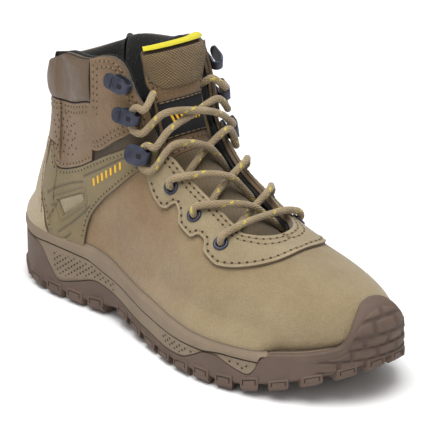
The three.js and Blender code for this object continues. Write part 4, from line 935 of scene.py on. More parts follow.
def shifted_line(s, side, climb, inward):
    """A line on the form moved sideways by inward millimetres (towards higher climb is positive)."""
    ahead, _ = form.spot(s + 0.3, side, climb)
    behind, _ = form.spot(s - 0.3, side, climb)
    stretch = np.linalg.norm(ahead - behind, axis=-1) / 0.6
    ds, dc = np.gradient(s) * stretch, np.gradient(climb)
    size = np.maximum(np.hypot(ds, dc), 1e-9)
    turn = np.where(np.gradient(s) >= 0, 1, -1)
    return s - turn * inward * dc / size / np.maximum(stretch, 0.3), climb + turn * inward * ds / size


def sew_on_form(s, side, climb, offset, inward=0.0, **how):
    if inward:
        s, climb = shifted_line(s, side, climb, inward)
    points, normals = form.spot(s, side, climb)
    sew(points + normals * offset, normals, **how)


def sew_upward(s, side_sign, z, offset, **how):
    """Stitches up the form, through one station, or one for each height."""
    along, sides = np.full(len(z), s, float), np.full(len(z), side_sign)
    sew_on_form(along, sides, form.at_height(along, sides, z), offset, **how)


# ------ upper panels
def edge_distance(points):
    """Millimetres from each crossing of a grid to the nearest edge."""
    across = run_across(points)
    along = run_across(points.swapaxes(0, 1)).T
    return np.minimum(np.minimum(across, across[:, -1:] - across), np.minimum(along, along[-1:] - along))


def cloth_uv(points):
    """Lengths along and across a grid, in millimetres."""
    mid = points.shape[1] // 2
    across = run_across(points)
    across -= across[:, mid:mid + 1]
    return np.stack([np.broadcast_to(run_along(points[:, mid])[:, None], across.shape), across], -1)


def laid(s, side, low, high, rows, offset):
    """Points and normals of a grid laid on the form between two climbs."""
    high = np.maximum(high, low + 0.8)
    share = np.linspace(0, 1, rows + 1)
    climb = low[:, None] + (high - low)[:, None] * share
    points, normals = form.spot(s[:, None], side[:, None], climb)
    if callable(offset):
        offset = offset(s[:, None] + 0 * climb, share[None, :] + 0 * climb, points)
    return points + normals * np.broadcast_to(offset, climb.shape)[..., None], normals


def panel(name, s, side, low, high, rows, offset, thickness, edge=0.45, groove_shade=None, holes=None, puffed=None):
    """A piece of sheet on the form. The groove depths, in millimetres for each place, darken the colour there
    as painted shade, and holes gives the places (point, radius) that are cut out."""
    points, normals = laid(s, side, low, high, rows, offset)
    piece = grid_piece(name, points, cloth_uv(points))
    face_out(piece, normals)
    distance = edge_distance(points)
    if puffed:
        puff(piece, (distance < 0.01).ravel(), **puffed)
    set_attribute(piece, "edge", distance)
    if groove_shade is not None:
        set_attribute(piece, "groove_shade", groove_shade(s[:, None] + 0 * distance, points))
    if holes:
        delete_faces(piece, lambda c: np.min([np.linalg.norm(c - at, axis=1) - r for at, r in holes],
                                             axis=0) < 0)
    thicken(piece, thickness, edge)
    return piece


VAMP_REAR_S, VAMP_HOLE_R, STAY_HOLE_R = 26.0, 4.1, 3.7
vamp_edge = curve([(26, 56), (34, 68), (44, 78), (64, 94), (90, 113.5)])
band_top = curve([(-17.5, 80), (-14, 97), (-12, 98.5), (-6, 87), (0, 84), (20, 90), (36, 98.5), (58, 110.5),
                  (84, 121)])
band_bottom = curve([(-17.5, 78), (-15.6, 66), (-8.5, 54), (-1, 43), (0, 41.9), (30, 42.3), (33, 57),
                     (44, 73),
                     (63, 90), (82, 106.5), (92, 112.7)])
pad_bottom = curve([(-62, 126.5), (-8, 128.5), (14, 131), (36, 137)])
ankle_front = curve([(38.5, 107), (62, 120), (80, 129)])
cover_front = curve([(-17.5, 78), (-15.6, 66), (-8.5, 54), (-3, 45.5)])
stay_edge = curve([(84, 56), (98, 53), (104, 48), (110, 39.5), (114, 41), (117, 45.5), (129, 44.5), (134, 39),
                   (138, 38.5), (142, 43.5), (152, 44), (160, 43), (184, 40), (213, 37.5), (TOE_S, 33.5)])
HEEL_COVER_TOP, PAD_FRONT_S, FLAP_FRONT_S, INSERT_EDGE_S = 98.0, 36.0, 79.5, 37.0
EYELETS = [(48.3, 32.5), (24.9, 33.7), (2.5, 36.3)]          # x, and length down from the crest
HOOKS = [(-21.2, 115.0), (-29.5, 137.0), (-36.5, 156.0)]     # x, z


def place_frame(s, side, climb):
    """Point, along, up and normal at one place of the form."""
    point, normal = form.spot(s, side, climb)
    along = unit(form.spot(s + 0.6, side, climb)[0] - form.spot(s - 0.6, side, climb)[0])
    up = unit(form.spot(s, side, climb + 0.6)[0] - form.spot(s, side, climb - 0.6)[0])
    return {"point": point, "along": along, "inward": up, "normal": normal}


def frame_at_height(s, side, z):
    return place_frame(s, side, float(form.at_height(np.array([s]), np.array([side]), z)[0]))


def eyelet_frame(number, side):
    x, down = EYELETS[number]
    s = x - HEEL_X
    return place_frame(s, side, float(form.from_crest(np.array([s]), np.array([side]), down)[0]))


def hook_frame(number, side):
    x, z = HOOKS[number]
    return frame_at_height(x - HEEL_X, side, z)


def eyelet_holes(radius, depth):
    places = [eyelet_frame(number, side) for side in SIDES for number in range(3)]
    return [(at["point"] + at["normal"] * depth, radius) for at in places]


def make_vamp():
    s, side = toe_ring(VAMP_REAR_S, 1.3)
    low = form.feather(s, side) - 1.5
    opening = form.opening(s, side)
    high = np.where(s <= 88, np.minimum(form.at_height(s, side, vamp_edge(s)), opening), opening)
    piece = panel("vamp_leather", s, side, low, high, 58, 0.0, LEATHER, holes=eyelet_holes(VAMP_HOLE_R, 0))
    finish_piece(piece, NUBUCK_TAN, "nubuck", "vamp")


def make_quarters():
    for side_sign in SIDES:
        s, side = one_side(-HEEL_SPAN, 88, side_sign, 1.5)
        low = np.where(s < VAMP_REAR_S, form.feather(s, side), form.at_height(s, side, vamp_edge(s) + GAP))
        piece = panel("quarter_cloth_" + SIDE_NAME[side_sign], s, side, low, form.top(s, side), 56, 0.0,
                      LEATHER, edge=0)
        finish_piece(piece, BROWN_CLOTH, "brown_mesh", "quarter_" + SIDE_NAME[side_sign])


WINDOW = np.array([(1.7, 64.5), (29.5, 78), (31.5, 72.5), (9.5, 55)])
BAND_LINES = [[(-7.5, 66.5), (4, 73.5), (18, 80), (29, 84)], [(8, 45.6), (20, 55), (30, 64), (36, 70)],
              [(12, 41.5), (16, 44.5), (19, 47.5)], [(30, 88), (46, 97), (64, 108), (80, 116)],
              [(-3, 52), (3, 62), (-2, 60)]]


def distance_to_line(points, line):
    """Distance of 2-D points from a broken line."""
    line = np.asarray(line, float)
    best = np.full(points.shape[:-1], 1e9)
    for a, b in zip(line[:-1], line[1:]):
        t = np.clip(((points - a) @ (b - a)) / ((b - a) @ (b - a)), 0, 1)
        best = np.minimum(best, np.linalg.norm(points - (a + t[..., None] * (b - a)), axis=-1))
    return best


def in_window(points, margin):
    """True inside the window of the side band, in (s, z)."""
    inside = np.ones(points.shape[:-1], bool)
    for a, b in zip(WINDOW, np.roll(WINDOW, -1, axis=0)):
        d = b - a
        normal = np.array([-d[1], d[0]]) / np.linalg.norm(d)
        if (WINDOW.mean(0) - a) @ normal < 0:
            normal = -normal
        inside &= (points - a) @ normal > margin
    return inside


def make_bands():
    for side_sign in SIDES:
        s, side = one_side(-17.5, 88, side_sign, 0.7)
        low = np.maximum(form.at_height(s, side, band_bottom(s)), form.feather(s, side) - 1.0)
        high = np.minimum(form.at_height(s, side, band_top(s)), form.opening(s, side))

        def depth(s_at, points):
            place = np.stack([s_at, points[..., 2]], -1)
            lines = np.min([distance_to_line(place, line) for line in BAND_LINES], axis=0)
            rim = distance_to_line(place, np.concatenate([WINDOW, WINDOW[:1]]))
            return 0.8 * np.exp(-(lines / 0.75) ** 2) + 0.5 * np.exp(-((rim - 2.2) / 0.6) ** 2)

        def offset(s_at, share, points):
            place = np.stack([s_at, points[..., 2]], -1)
            window = in_window(place, 0.6)
            swell = 0.35 * np.exp(-(distance_to_line(place, BAND_LINES[0]) / 5) ** 2)
            return LAYER_OUT + swell - 0.75 * depth(s_at, points) - 1.2 * window
        name = SIDE_NAME[side_sign]
        piece = panel("side_band_cover_" + name, s, side, low, high, 72, offset, OVERLAY, edge=0.4,
                      groove_shade=depth)
        finish_piece(piece, BAND, "band", "side_band_" + name)
        window_patch(name, side_sign)
        for edge_climb, start, end, inward in ((high, -14, 86, -2.2), (low, 31, 87, 2.2),
                                               (low, -15, -1, 2.2)):
            row = (s > start) & (s < end)
            sew_on_form(s[row], side[row], edge_climb[row], LAYER_OUT + 0.1, inward, **BAND_SEAM)


def window_patch(name, side_sign):
    """The nubuck that shows in the window of the side band."""
    centre = WINDOW.mean(0)
    inner = centre + (WINDOW - centre) * np.array([0.86, 0.80])
    n, m = 40, 14
    a, b = np.linspace(0, 1, n)[:, None, None], np.linspace(0, 1, m)[None, :, None]
    lower = inner[3] * (1 - a) + inner[2] * a
    upper = inner[0] * (1 - a) + inner[1] * a
    place = lower * (1 - b) + upper * b
    s, z = place[..., 0], place[..., 1]
    side = np.full(s.shape, side_sign)
    points, normals = form.spot(s, side, form.at_height(s, side, z))
    distance = edge_distance(points)
    rise = LAYER_OUT - 0.95 + 0.75 * np.clip(distance / 2.4, 0, 1) ** 0.5
    points = points + normals * rise[..., None]
    piece = grid_piece("window_patch_" + name, points, cloth_uv(points))
    face_out(piece, normals)
    set_attribute(piece, "edge", distance + 0.6)
    thicken(piece, 0.6, 0)
    finish_piece(piece, NUBUCK_KHAKI, "nubuck")


def make_ankle_panels():
    for side_sign in SIDES:
        s, _ = one_side(-HEEL_SPAN, FLAP_FRONT_S, side_sign, 1.0)
        s = np.sort(np.concatenate([s, [PAD_FRONT_S - 0.36, PAD_FRONT_S - 0.3, INSERT_EDGE_S,
                                        INSERT_EDGE_S + 0.1]]))
        side = np.full(len(s), side_sign)
        low_z = np.where(s < -16.5, HEEL_COVER_TOP + 2 * GAP,
                         np.where(s > INSERT_EDGE_S + 0.01, ankle_front(s),
                                  np.maximum(band_top(s), np.where(s < -9, HEEL_COVER_TOP, 0)) + 2 * GAP))
        low = form.at_height(s, side, low_z)
        over = form.at_height(s, side, pad_bottom(s) - 2 * GAP)
        top = form.top(s, side)
        high = np.where(s < PAD_FRONT_S - 0.33, over, top)
        name = SIDE_NAME[side_sign]
        piece = panel("ankle_panel_leather_" + name, s, side, low, high, 46, LAYER_OUT, OVERLAY)
        finish_piece(piece, NUBUCK_ANKLE, "nubuck", "ankle_panel_" + name)
        lift = LAYER_OUT + SEAM_LIFT
        front = s > PAD_FRONT_S + 3
        for gap in SEAM_ROWS:
            sew_on_form(s[front][:-2], side[front][:-2], top[front][:-2], lift, -gap, **FINE_SEAM)
        front = (s > INSERT_EDGE_S + 3) & (s < FLAP_FRONT_S - 2)
        for inward in (2.4, 5.4):
            sew_on_form(s[front], side[front], low[front], lift, inward, **FINE_SEAM)
        middle = (s > -5) & (s < INSERT_EDGE_S - 1)
        sew_on_form(s[middle], side[middle], low[middle], lift, 2.4, **FINE_SEAM)
        # double row round the pad
        for gap in SEAM_ROWS:
            under = (s > -58) & (s < PAD_FRONT_S - 4)
            sew_on_form(s[under], side[under], over[under] - gap, lift, **FINE_SEAM)
            z = np.linspace(float(pad_bottom(PAD_FRONT_S)) - gap, 163 - gap * 0.5, 26)
            sew_upward(PAD_FRONT_S + gap, side_sign, z, lift, **FINE_SEAM)
        # front edge of the flap
        for gap in SEAM_ROWS:
            z = np.linspace(131, float(top_line(HEEL_X + FLAP_FRONT_S - gap)) - gap, 24)
            sew_upward(FLAP_FRONT_S - gap, side_sign, z, lift, **FINE_SEAM)
        perforate(side_sign)


vent_holes = []


def perforate(side_sign):
    """The fan of small holes behind the ankle."""
    for row in range(7):
        for column in range(6):
            s = -9.5 + 5.2 * column + 1.4 * (row % 2) + 0.5 * row
            z = 121.5 - 4.3 * row - 0.035 * (s - 6) ** 2
            if s > 25 - row * 1.8 or s < -12 + row * 0.6:
                continue
            at = frame_at_height(s, side_sign, z)
            vent_holes.append(basis(at["along"] * 1.45, at["inward"] * 1.45, at["normal"] * 1.2,
                                    at["point"] + at["normal"] * (LAYER_OUT + 0.06)))


def make_heel_cover():
    s, side = heel_ring(-3, 1.0)
    low = form.feather(s, side) - 1.0
    top_z = np.where(s < -18.1, HEEL_COVER_TOP, cover_front(s) - 2.5)
    high = form.at_height(s, side, top_z)
    piece = panel("heel_cover_leather", s, side, low, high, 46, LAYER_OUT, OVERLAY)
    finish_piece(piece, NUBUCK_HEEL, "nubuck", "heel_cover")
    back = s < -19.5
    for inward in (-2.6, -5.8):
        sew_on_form(s[back], side[back], high[back] + inward, LAYER_OUT + SEAM_LIFT, **FINE_SEAM)
    z = np.linspace(52, 94, 30)
    along = np.where(z > 78, -20.8, -20.8 + (78 - z) * 0.34)
    for side_sign in SIDES:
        sew_upward(along, side_sign, z, LAYER_OUT + SEAM_LIFT, **FINE_SEAM)


def make_collar_pad():
    s, side = heel_ring(PAD_FRONT_S - 2 * GAP, 1.5)
    low = form.at_height(s, side, pad_bottom(s))
    high = form.top(s, side, 0.5)

    def bulge(s_at, share, points):
        end = np.clip((PAD_FRONT_S - s_at) / 5, 0, 1) ** 0.5
        round_edge = np.clip(np.sin(math.pi * np.clip(share, 0, 1)), 0, 1) ** 0.42
        return GAP + 1.0 + COLLAR_PAD * 0.86 * round_edge * (0.25 + 0.75 * end)
    piece = panel("collar_pad_cover", s, side, low, high, 26, bulge, 0.9, edge=0,
                  puffed=dict(pressure=3.0, cap=0.9, growth=0.012))
    finish_piece(piece, SMOOTH, "smooth_leather", "collar_pad")


def make_eyestay():
    s, side = toe_ring(85, 0.8)
    low = form.from_crest(s, side, stay_edge(s))
    high = form.opening(s, side, 0.2)
    behind = s < 93
    high[behind] = np.minimum(high[behind], form.at_height(s[behind], side[behind],
                                                           band_bottom(s[behind]) - 2 * GAP))
    piece = panel("eyestay_leather", s, side, low, high, 34, LAYER_OUT, OVERLAY,
                  holes=eyelet_holes(STAY_HOLE_R, LAYER_OUT))
    finish_piece(piece, NUBUCK_KHAKI, "nubuck", "eyestay")
    lift = LAYER_OUT + SEAM_LIFT
    row = s > 87
    sew_on_form(s[row], side[row], low[row], lift, 2.5, pitch=4.6, hole=(2.1, 1.5), width=1.0)
    row = s > 94
    for inward in (-2.3, -5.2):
        sew_on_form(s[row], side[row], high[row], lift, inward, pitch=4.2, hole=(2.0, 1.3), width=0.9)


def make_linings():
    def is_toe(s):
        return smoothstep(BALL_S + 9, BALL_S + 34, s)
    s, side = toe_ring(-HEEL_SPAN, 2.0)
    low = form.feather(s, side)
    opening = form.opening(s, side)
    high = np.where(s < 84, np.minimum(form.at_height(s, side, COLLAR_FOOT - 2 * GAP), opening), opening)
    outside = -(LINING_SPACE + is_toe(s) * CAP_SPACE + (1 - smoothstep(30, 44, s)) * COUNTER_SPACE)
    piece = panel("lining_cloth", s, side, low, high, 44, outside[:, None], LINING, edge=0,
                  holes=eyelet_holes(VAMP_HOLE_R, -LINING_SPACE))
    finish_piece(piece, BLACK_MESH, "black_mesh", "lining")

    s, side = heel_ring(FLAP_FRONT_S, 1.6)
    low = form.at_height(s, side, COLLAR_FOOT)
    high = form.top(s, side, -0.6)
    depth = LINING + (COLLAR_FOAM - LINING) * (1 - smoothstep(34, 60, s))
    around = 44
    turn = np.linspace(0, 2 * math.pi, around, endpoint=False)
    # A long pad section: flat against the leather, rounded over the top and swollen inside.
    share = 0.5 - 0.5 * np.sign(np.cos(turn)) * np.abs(np.cos(turn)) ** 0.55
    inside = np.clip(np.sin(turn), 0, 1) ** 0.62
    outer = np.clip(-np.sin(turn), 0, 1) ** 0.3
    end = np.clip((FLAP_FRONT_S - s) / 3.0, 0.05, 1) ** 0.5
    climb = low[:, None] + (high - low)[:, None] * (1 - share)
    channel = 1 - 0.10 * np.exp(-(((1 - share) - 0.42) / 0.035) ** 2)
    thick = depth[:, None] * (0.12 + 0.88 * inside * channel) * end[:, None]
    base = -LINING_SPACE - 0.1
    offset = base - np.where(np.sin(turn) > 0, thick, depth[:, None] * 0.12 * (1 - outer))
    points, normals = form.spot(s[:, None], side[:, None], climb)
    points = points + normals * offset[..., None]
    lengths = cloth_uv(points)
    around_length = np.cumsum(np.linalg.norm(np.diff(points[len(s) // 2], axis=0,
                                                     append=points[len(s) // 2][:1]), axis=1))
    uv = np.stack([np.broadcast_to(lengths[:, :1, 0], (len(s), around + 1)),
                   np.broadcast_to(np.concatenate([[0], around_length])[None, :], (len(s), around + 1))], -1)
    piece = wrapped_piece("collar_lining_pad", points, uv)
    smooth(piece, 70)
    finish_piece(piece, BLACK_MESH, "black_mesh", "collar_lining")

# ------ sole
tread_height = curve([(-154, 6), (-136, 1.5), (-118, 0), (-62, 0), (-40, 4), (-14, 3), (4, 0), (74, 0),
                      (100, 4),
                      (124, 11), (140, 17), (154, 23)])
rubber_top = curve([(-62, 33.5), (-18, 33), (-9, 30), (-1, 20), (7.6, 12.5), (25, 17), (41, 21.5), (52, 20),
                    (80, 15),
                    (107, 12), (127, 10.5), (143, 11.5), (153, 15.5), (164, 20.5), (172, 21), (184, 16.7),
                    (193.7, 14), (197, 17), (201.5, 26.5), (207, 29.5), (218, 31.5), (227, 34), (233.6, 37),
                    (237.4, 43), (240.5, 51), (247, 58), (252, 59)])
rim_line = curve([(-62, 37.5), (-40, 36), (-17, 34.2), (0, 35.4), (33, 34), (49, 29.6), (81, 25), (107, 22),
                  (137, 21), (160, 21), (178, 23), (201, 23), (252, 27)])
EDGE_LUGS = [(-56, -43), (-38, -26), (-21, -9), (-4, 10), (15, 29), (34, 48), (64, 77), (82, 95), (100, 113),
             (118, 131), (136, 150), (155, 168), (173, 185), (190, 200), (205, 214), (219, 227), (232, 239),
             (243, 250)]
LUG_PROUD, LUG_ROOT, BUMPER_IN, WALL_LEAST = 1.1, 14.0, 1.4, 3.5


def lug_top(x):
    return tread_height(x) + LUG_DEPTH


def wall_top(s, x):
    """Top of the rubber wall, which stays a little above the lugs."""
    return np.maximum(rubber_top(s), lug_top(x) + WALL_LEAST)


def plain_x(s, side):
    return sole_spot(s, side, 0.0)[..., 0]


def sole_stations():
    half = np.concatenate([np.linspace(-HEEL_SPAN, 196, 185), np.linspace(196.7, TOE_S, 80)])
    return np.concatenate([half, half[::-1][1:-1]]), np.repeat([LATERAL, MEDIAL], [len(half), len(half) - 2])


def ring_values(rows):
    """Rows of a ring side by side, with the first station and the first row repeated last."""
    values = np.stack(rows, 1)
    values = np.concatenate([values, values[:1]])
    return np.concatenate([values, values[:, :1]], 1)


def ring_piece(name, rows, groove_shades):
    """A closed ring: a grid primitive set to rows of (station, xyz), joined both ways round, with a value of
    painted groove shade for each place."""
    piece = grid_piece(name, ring_values(rows))
    set_attribute(piece, "groove_shade", ring_values(groove_shades))
    merge_and_close(piece)
    return piece


def without_groove_shade(piece):
    set_attribute(piece, "groove_shade", np.zeros(len(piece.data.vertices)))
    return piece


BLOCK_WIDE, BLOCK_TALL, BLOCK_GROOVE = 9.6, 6.6, 0.55


def toe_blocks(s, z, top):
    """Height of the toe's brick-like blocks, 0 to 1."""
    u = TOE_S - s
    v = z - 17.0 + 0.10 * u
    row = np.floor(v / BLOCK_TALL)
    shift = np.where(np.mod(row, 2) == 0, BLOCK_WIDE / 2, 0)
    across = np.mod(u + shift, BLOCK_WIDE)
    border = np.minimum(np.minimum(across, BLOCK_WIDE - across),
                        np.minimum(v - row * BLOCK_TALL, (row + 1) * BLOCK_TALL - v))
    block = smoothstep(BLOCK_GROOVE, BLOCK_GROOVE + 0.7, border)
    inside = smoothstep(5.0, 6.4, top - z) * (1 - smoothstep(26, 28, u)) * smoothstep(14, 16, z)
    frame_rise = smoothstep(1.5, 3.4, top - z) * (1 - smoothstep(4.2, 5.4, top - z)) * (1 - smoothstep(30, 40,
                                                                                                       u))
    return block * inside, inside, frame_rise


def outsole_wall():
    s, side = sole_stations()
    x = plain_x(s, side)
    feather = feather_height(x)
    top = wall_top(s, x)

    def skin(z, inset, offset):
        climb = form.at_height(s, side, np.maximum(z, feather))
        points, normals = form.spot(s, side, climb)
        on_form = points + normals * np.broadcast_to(offset, s.shape)[:, None]
        wall = sole_spot(s, side, inset, z)
        share = smoothstep(-1, 8, z - feather)[:, None]
        return wall * (1 - share) + on_form * share
    low = lug_top(x) + 2.4
    rows = [sole_spot(s, side, 12.0, lug_top(x)), sole_spot(s, side, 2.4, lug_top(x))]
    groove_shades = [np.zeros(len(s)), np.zeros(len(s))]
    for t in np.linspace(0, 1, 64):
        z = low + (top - 0.5 - low) * t
        block, inside, rise = toe_blocks(s, z, top)
        proud = 1.1 * block - 0.5 * inside + 0.25 * rise
        share = np.clip((z - feather - 3) / np.maximum(top - feather - 3, 1), 0, 1)
        rows.append(skin(z, -proud, 5.2 - 2.0 * share ** 2 + proud))
        # painted shade in the grooves between the toe blocks
        groove_shades.append(np.clip(inside - block, 0, 1) * 0.45)
    rows.append(skin(top, 0.6, 2.7))
    rows.append(skin(top, WALL - 0.6, BUMPER_IN + 0.4))
    for t in np.linspace(0, 1, 6):
        rows.append(skin(top - 0.4 - (top - 0.4 - lug_top(x) - FLOOR) * t, WALL, BUMPER_IN))
    rows.append(sole_spot(s, side, 12.0, lug_top(x) + FLOOR))
    groove_shades += [np.zeros(len(s))] * 9
    piece = ring_piece("outsole_wall", rows, groove_shades)
    smooth(piece, 45)
    return piece


def sole_slab(name, inset, low, thickness):
    """A slab over the whole sole at a distance in from its outline."""
    s = np.linspace(-HEEL_SPAN + 2, TOE_S - 2, 120)
    lateral = sole_spot(s, LATERAL, inset)
    medial = sole_spot(s, MEDIAL, inset)
    share = np.linspace(0, 1, 10)[None, :, None]
    points = lateral[:, None] * (1 - share) + medial[:, None] * share
    points[..., 2] = low(points[..., 0])
    piece = grid_piece(name, points)
    face_out(piece, np.broadcast_to([0, 0, -1.0], points.shape))
    apply_modifier(piece, "SOLIDIFY", thickness=thickness * MM, offset=-1)
    return piece


def lug_shape():
    """One edge lug in a unit box, split where its foot slopes in, its face scored with a sunk line."""
    bpy.ops.mesh.primitive_cube_add(size=1)
    piece = bpy.context.active_object
    start_edit(piece)
    bpy.ops.mesh.bisect(plane_co=(0, 0, -0.12), plane_no=(0, 0, 1))
    end_edit(turn_out=False)
    pick_faces(piece, [face.normal.y > 0.9 and face.center.z > -0.12 for face in piece.data.polygons])
    bpy.ops.mesh.inset(thickness=0.13)
    bpy.ops.mesh.inset(thickness=0.055)
    end_edit(turn_out=False)
    pick_faces(piece, [face.normal.y > 0.9 and face.area < 0.06 and abs(face.center.x) < 0.37
                       and -0.02 < face.center.z < 0.42
                       and (abs(face.center.x) > 0.26 or face.center.z > 0.25)
                       for face in piece.data.polygons])
    bpy.ops.mesh.extrude_region_move(TRANSFORM_OT_translate={"value": (0, -0.075, 0)})
    end_edit(turn_out=False)
    apply_modifier(piece, "BEVEL", width=0.035, segments=2, limit_method="ANGLE",
                   angle_limit=math.radians(50))
    return lift_off(piece)


def edge_lugs():
    shape = lug_shape()
    unit_points = get_points(shape)
    faces = [tuple(p.vertices) for p in shape.polygons]
    verts, all_faces, groove_shade = [], [], []
    for side_sign in SIDES:
        for first, last in EDGE_LUGS:
            along, depth, height = unit_points[:, 0] + 0.5, unit_points[:, 1] + 0.5, unit_points[:, 2] + 0.5
            taper = 1 - 0.16 * np.clip(1 - height / 0.4, 0, 1)
            s = (first + last) / 2 + (along - 0.5) * (last - first) * taper
            side = np.full(len(s), side_sign)
            x = plain_x(s, side)
            low = tread_height(x)
            tall = np.minimum(10.5, np.maximum(wall_top(s, x) - low - 2.2, 6.4))
            if first > 200:
                tall = np.full(len(s), 8.0)
            z = low + tall * height
            outer = np.where(height < 0.4, 2.4 - (2.4 + LUG_PROUD) * np.clip(height / 0.38, 0, 1), -LUG_PROUD)
            outer = outer + 0.9 * np.clip((height - 0.9) / 0.1, 0, 1)
            inset = np.where(depth > 0.5, outer + (1 - depth) * 8.0, LUG_ROOT)
            points = sole_spot(s, side, inset, z)
            base = len(verts)
            verts += points.tolist()
            turn = 1 if side_sign < 0 else -1
            all_faces += [tuple(base + i for i in face[::turn]) for face in faces]
            # painted shade in the sunk line on each lug's face
            groove_shade += list(np.where((depth < 0.975) & (depth > 0.9) & (height > 0.4) & (height < 0.95), 1.0,
                                    0.0))
    piece = made_piece("edge_lugs", verts, all_faces)
    start_edit(piece)
    end_edit()
    set_attribute(piece, "groove_shade", groove_shade)
    smooth(piece, 35)
    return piece


def chevrons():
    """The lugs down the middle of the tread."""
    out = []
    for x in (-126, -106, -86, 6, 26, 46, 66, 86, 104):
        low = float(tread_height(x + 5))
        half = 15 if x < -50 else 22 - max(0, x - 50) * 0.2
        outline = [(x, -half), (x + 10, -half), (x + 14, 0), (x + 10, half), (x, half), (x + 4, 0)]
        bpy.ops.mesh.primitive_circle_add(vertices=6, fill_type="NGON")
        piece = bpy.context.active_object
        set_points(piece, to_frame([(px, py + float(swing(x)), low) for px, py in outline]))
        start_edit(piece)
        bpy.ops.mesh.extrude_region_move(TRANSFORM_OT_translate={"value": (0, 0,
                                                                           (lug_top(x) + 1 - low) * MM)})
        end_edit()
        apply_modifier(piece, "BEVEL", width=0.9 * MM, segments=2, limit_method="ANGLE",
                       angle_limit=math.radians(50))
        out.append(without_groove_shade(piece))
    return out


def make_outsole():
    floor = without_groove_shade(sole_slab("outsole_floor", 11.0, lug_top, FLOOR))
    piece = join([outsole_wall(), floor, edge_lugs(), *chevrons()], "outsole_rubber")
    finish_piece(piece, RUBBER, "rubber", "outsole")


def make_midsole():
    s, side = sole_stations()
    x = plain_x(s, side)
    top = feather_height(x)
    low = lug_top(x) + FLOOR + 2 * GAP
    hidden = smoothstep(203.5, 206.5, s)
    face = (WALL + GAP) * hidden
    ledge = np.minimum(np.maximum(wall_top(s, x) + GAP, low + 1), top - 0.8)
    line = np.clip(rim_line(s), ledge + 0.2, top - 0.4)
    rows = [sole_spot(s, side, 13.0, low), sole_spot(s, side, WALL + GAP, low),
            sole_spot(s, side, WALL + GAP, ledge)]
    groove_shade = [np.zeros(len(s))] * 3
    for t in np.linspace(0, 1, 9):
        z = ledge + (np.maximum(line - 0.55, ledge + 0.05) - ledge) * t
        rows.append(sole_spot(s, side, face + 0.55 * math.sin(math.pi * t) ** 2 * (1 - hidden), z))
        # painted shade at the foot of the face, where it meets the rubber ledge
        groove_shade.append(np.full(len(s), 0.85 * (t < 0.06)))
    for dz, deep in ((-0.42, 0.55), (-0.25, 0.9), (0.0, 1.0), (0.25, 0.7), (0.42, 0.25)):
        z = np.clip(line + dz, ledge + 0.06, top - 0.3)
        rows.append(sole_spot(s, side, face + 1.0 * deep * (1 - hidden), z))
        # painted shade in the moulded groove round the midsole
        groove_shade.append(np.full(len(s), 1.0 if deep > 0.5 else 0.5))
    for t in np.linspace(0, 1, 8):
        z = np.clip(line + 0.62 + (top - 0.9 - line - 0.62) * t, ledge + 0.1, top - 0.25)
        rows.append(sole_spot(s, side, face - (0.35 + 0.35 * math.sin(math.pi * t)) * (1 - hidden), z))
        groove_shade.append(np.zeros(len(s)))
    upper, outward = form.spot(s, side, form.feather(s, side) + 1.9)
    lip = np.where((hidden > 0.5)[:, None], sole_spot(s, side, face + 2.0, top), upper + outward * 0.15)
    rim = sole_spot(s, side, face + 0.2, top + 0.2)
    rows += [rim * 0.75 + lip * 0.25, rim * 0.35 + lip * 0.65, lip, sole_spot(s, side, 13.0, top - 0.5)]
    # painted shade where the midsole's lip meets the upper
    groove_shade += [np.full(len(s), 0.1), np.full(len(s), 0.25), np.full(len(s), 0.9), np.zeros(len(s))]
    ring = ring_piece("midsole_ring", rows, groove_shade)
    core = without_groove_shade(sole_slab("midsole_core", 12.0, lambda x: lug_top(x) + FLOOR + 2 * GAP, 14.0))
    points = get_points(core.data) / MM - BOOT_CENTRE
    upper = points[:, 2] > lug_top(points[:, 0]) + FLOOR + 8
    points[upper, 2] = feather_height(points[upper, 0]) - 0.05
    set_points(core, to_frame(points))
    piece = join([ring, core], "midsole_foam_body")
    smooth(piece, 40)
    finish_piece(piece, MIDSOLE, "midsole", "midsole")
    midsole_dimples()


def midsole_dimples():
    placings = []
    for side_sign in SIDES:
        for s in np.arange(1.0, 200, 2.6):
            column = int(round((s - 1.0) / 2.6))
            if not (2 < s < 60 or 122 < s < 153 or 178 < s < 200):
                continue
            side = np.array([side_sign])
            for k in range(12):
                z = 8.0 + 4.0 * k + 2.0 * (column % 2) - 0.045 * s
                x = float(plain_x(np.array([s]), side)[0])
                ledge = float(wall_top(s, x))
                if not ledge + 2.0 < z < float(rim_line(s)) - 2.3:
                    continue
                at = sole_spot(np.array([s]), side, 0.25, z)[0]
                ahead = sole_spot(np.array([s + 0.5]), side, 0.25, z)[0]
                along = unit(ahead - at)
                out = np.cross(along, [0, 0, 1.0])
                out = out if out[1] * side_sign > 0 or abs(out[1]) < 0.2 else -out
                placings.append(basis(along * 1.3, np.cross(out, along) * 1.3, out, at + out * 0.12))
    # the dimples are coloured with painted shade
    piece = copies("midsole_dimples", DIMPLE, placings)
    finish_piece(piece, HOLE_SHADE, "midsole")


# ------ front of the ankle
CREST_X = np.arange(78, -30.25, -0.5)
CREST_Z = crest_height(CREST_X)
CREST_U = np.concatenate([[0], np.cumsum(np.hypot(np.diff(CREST_X), np.diff(CREST_Z)))])


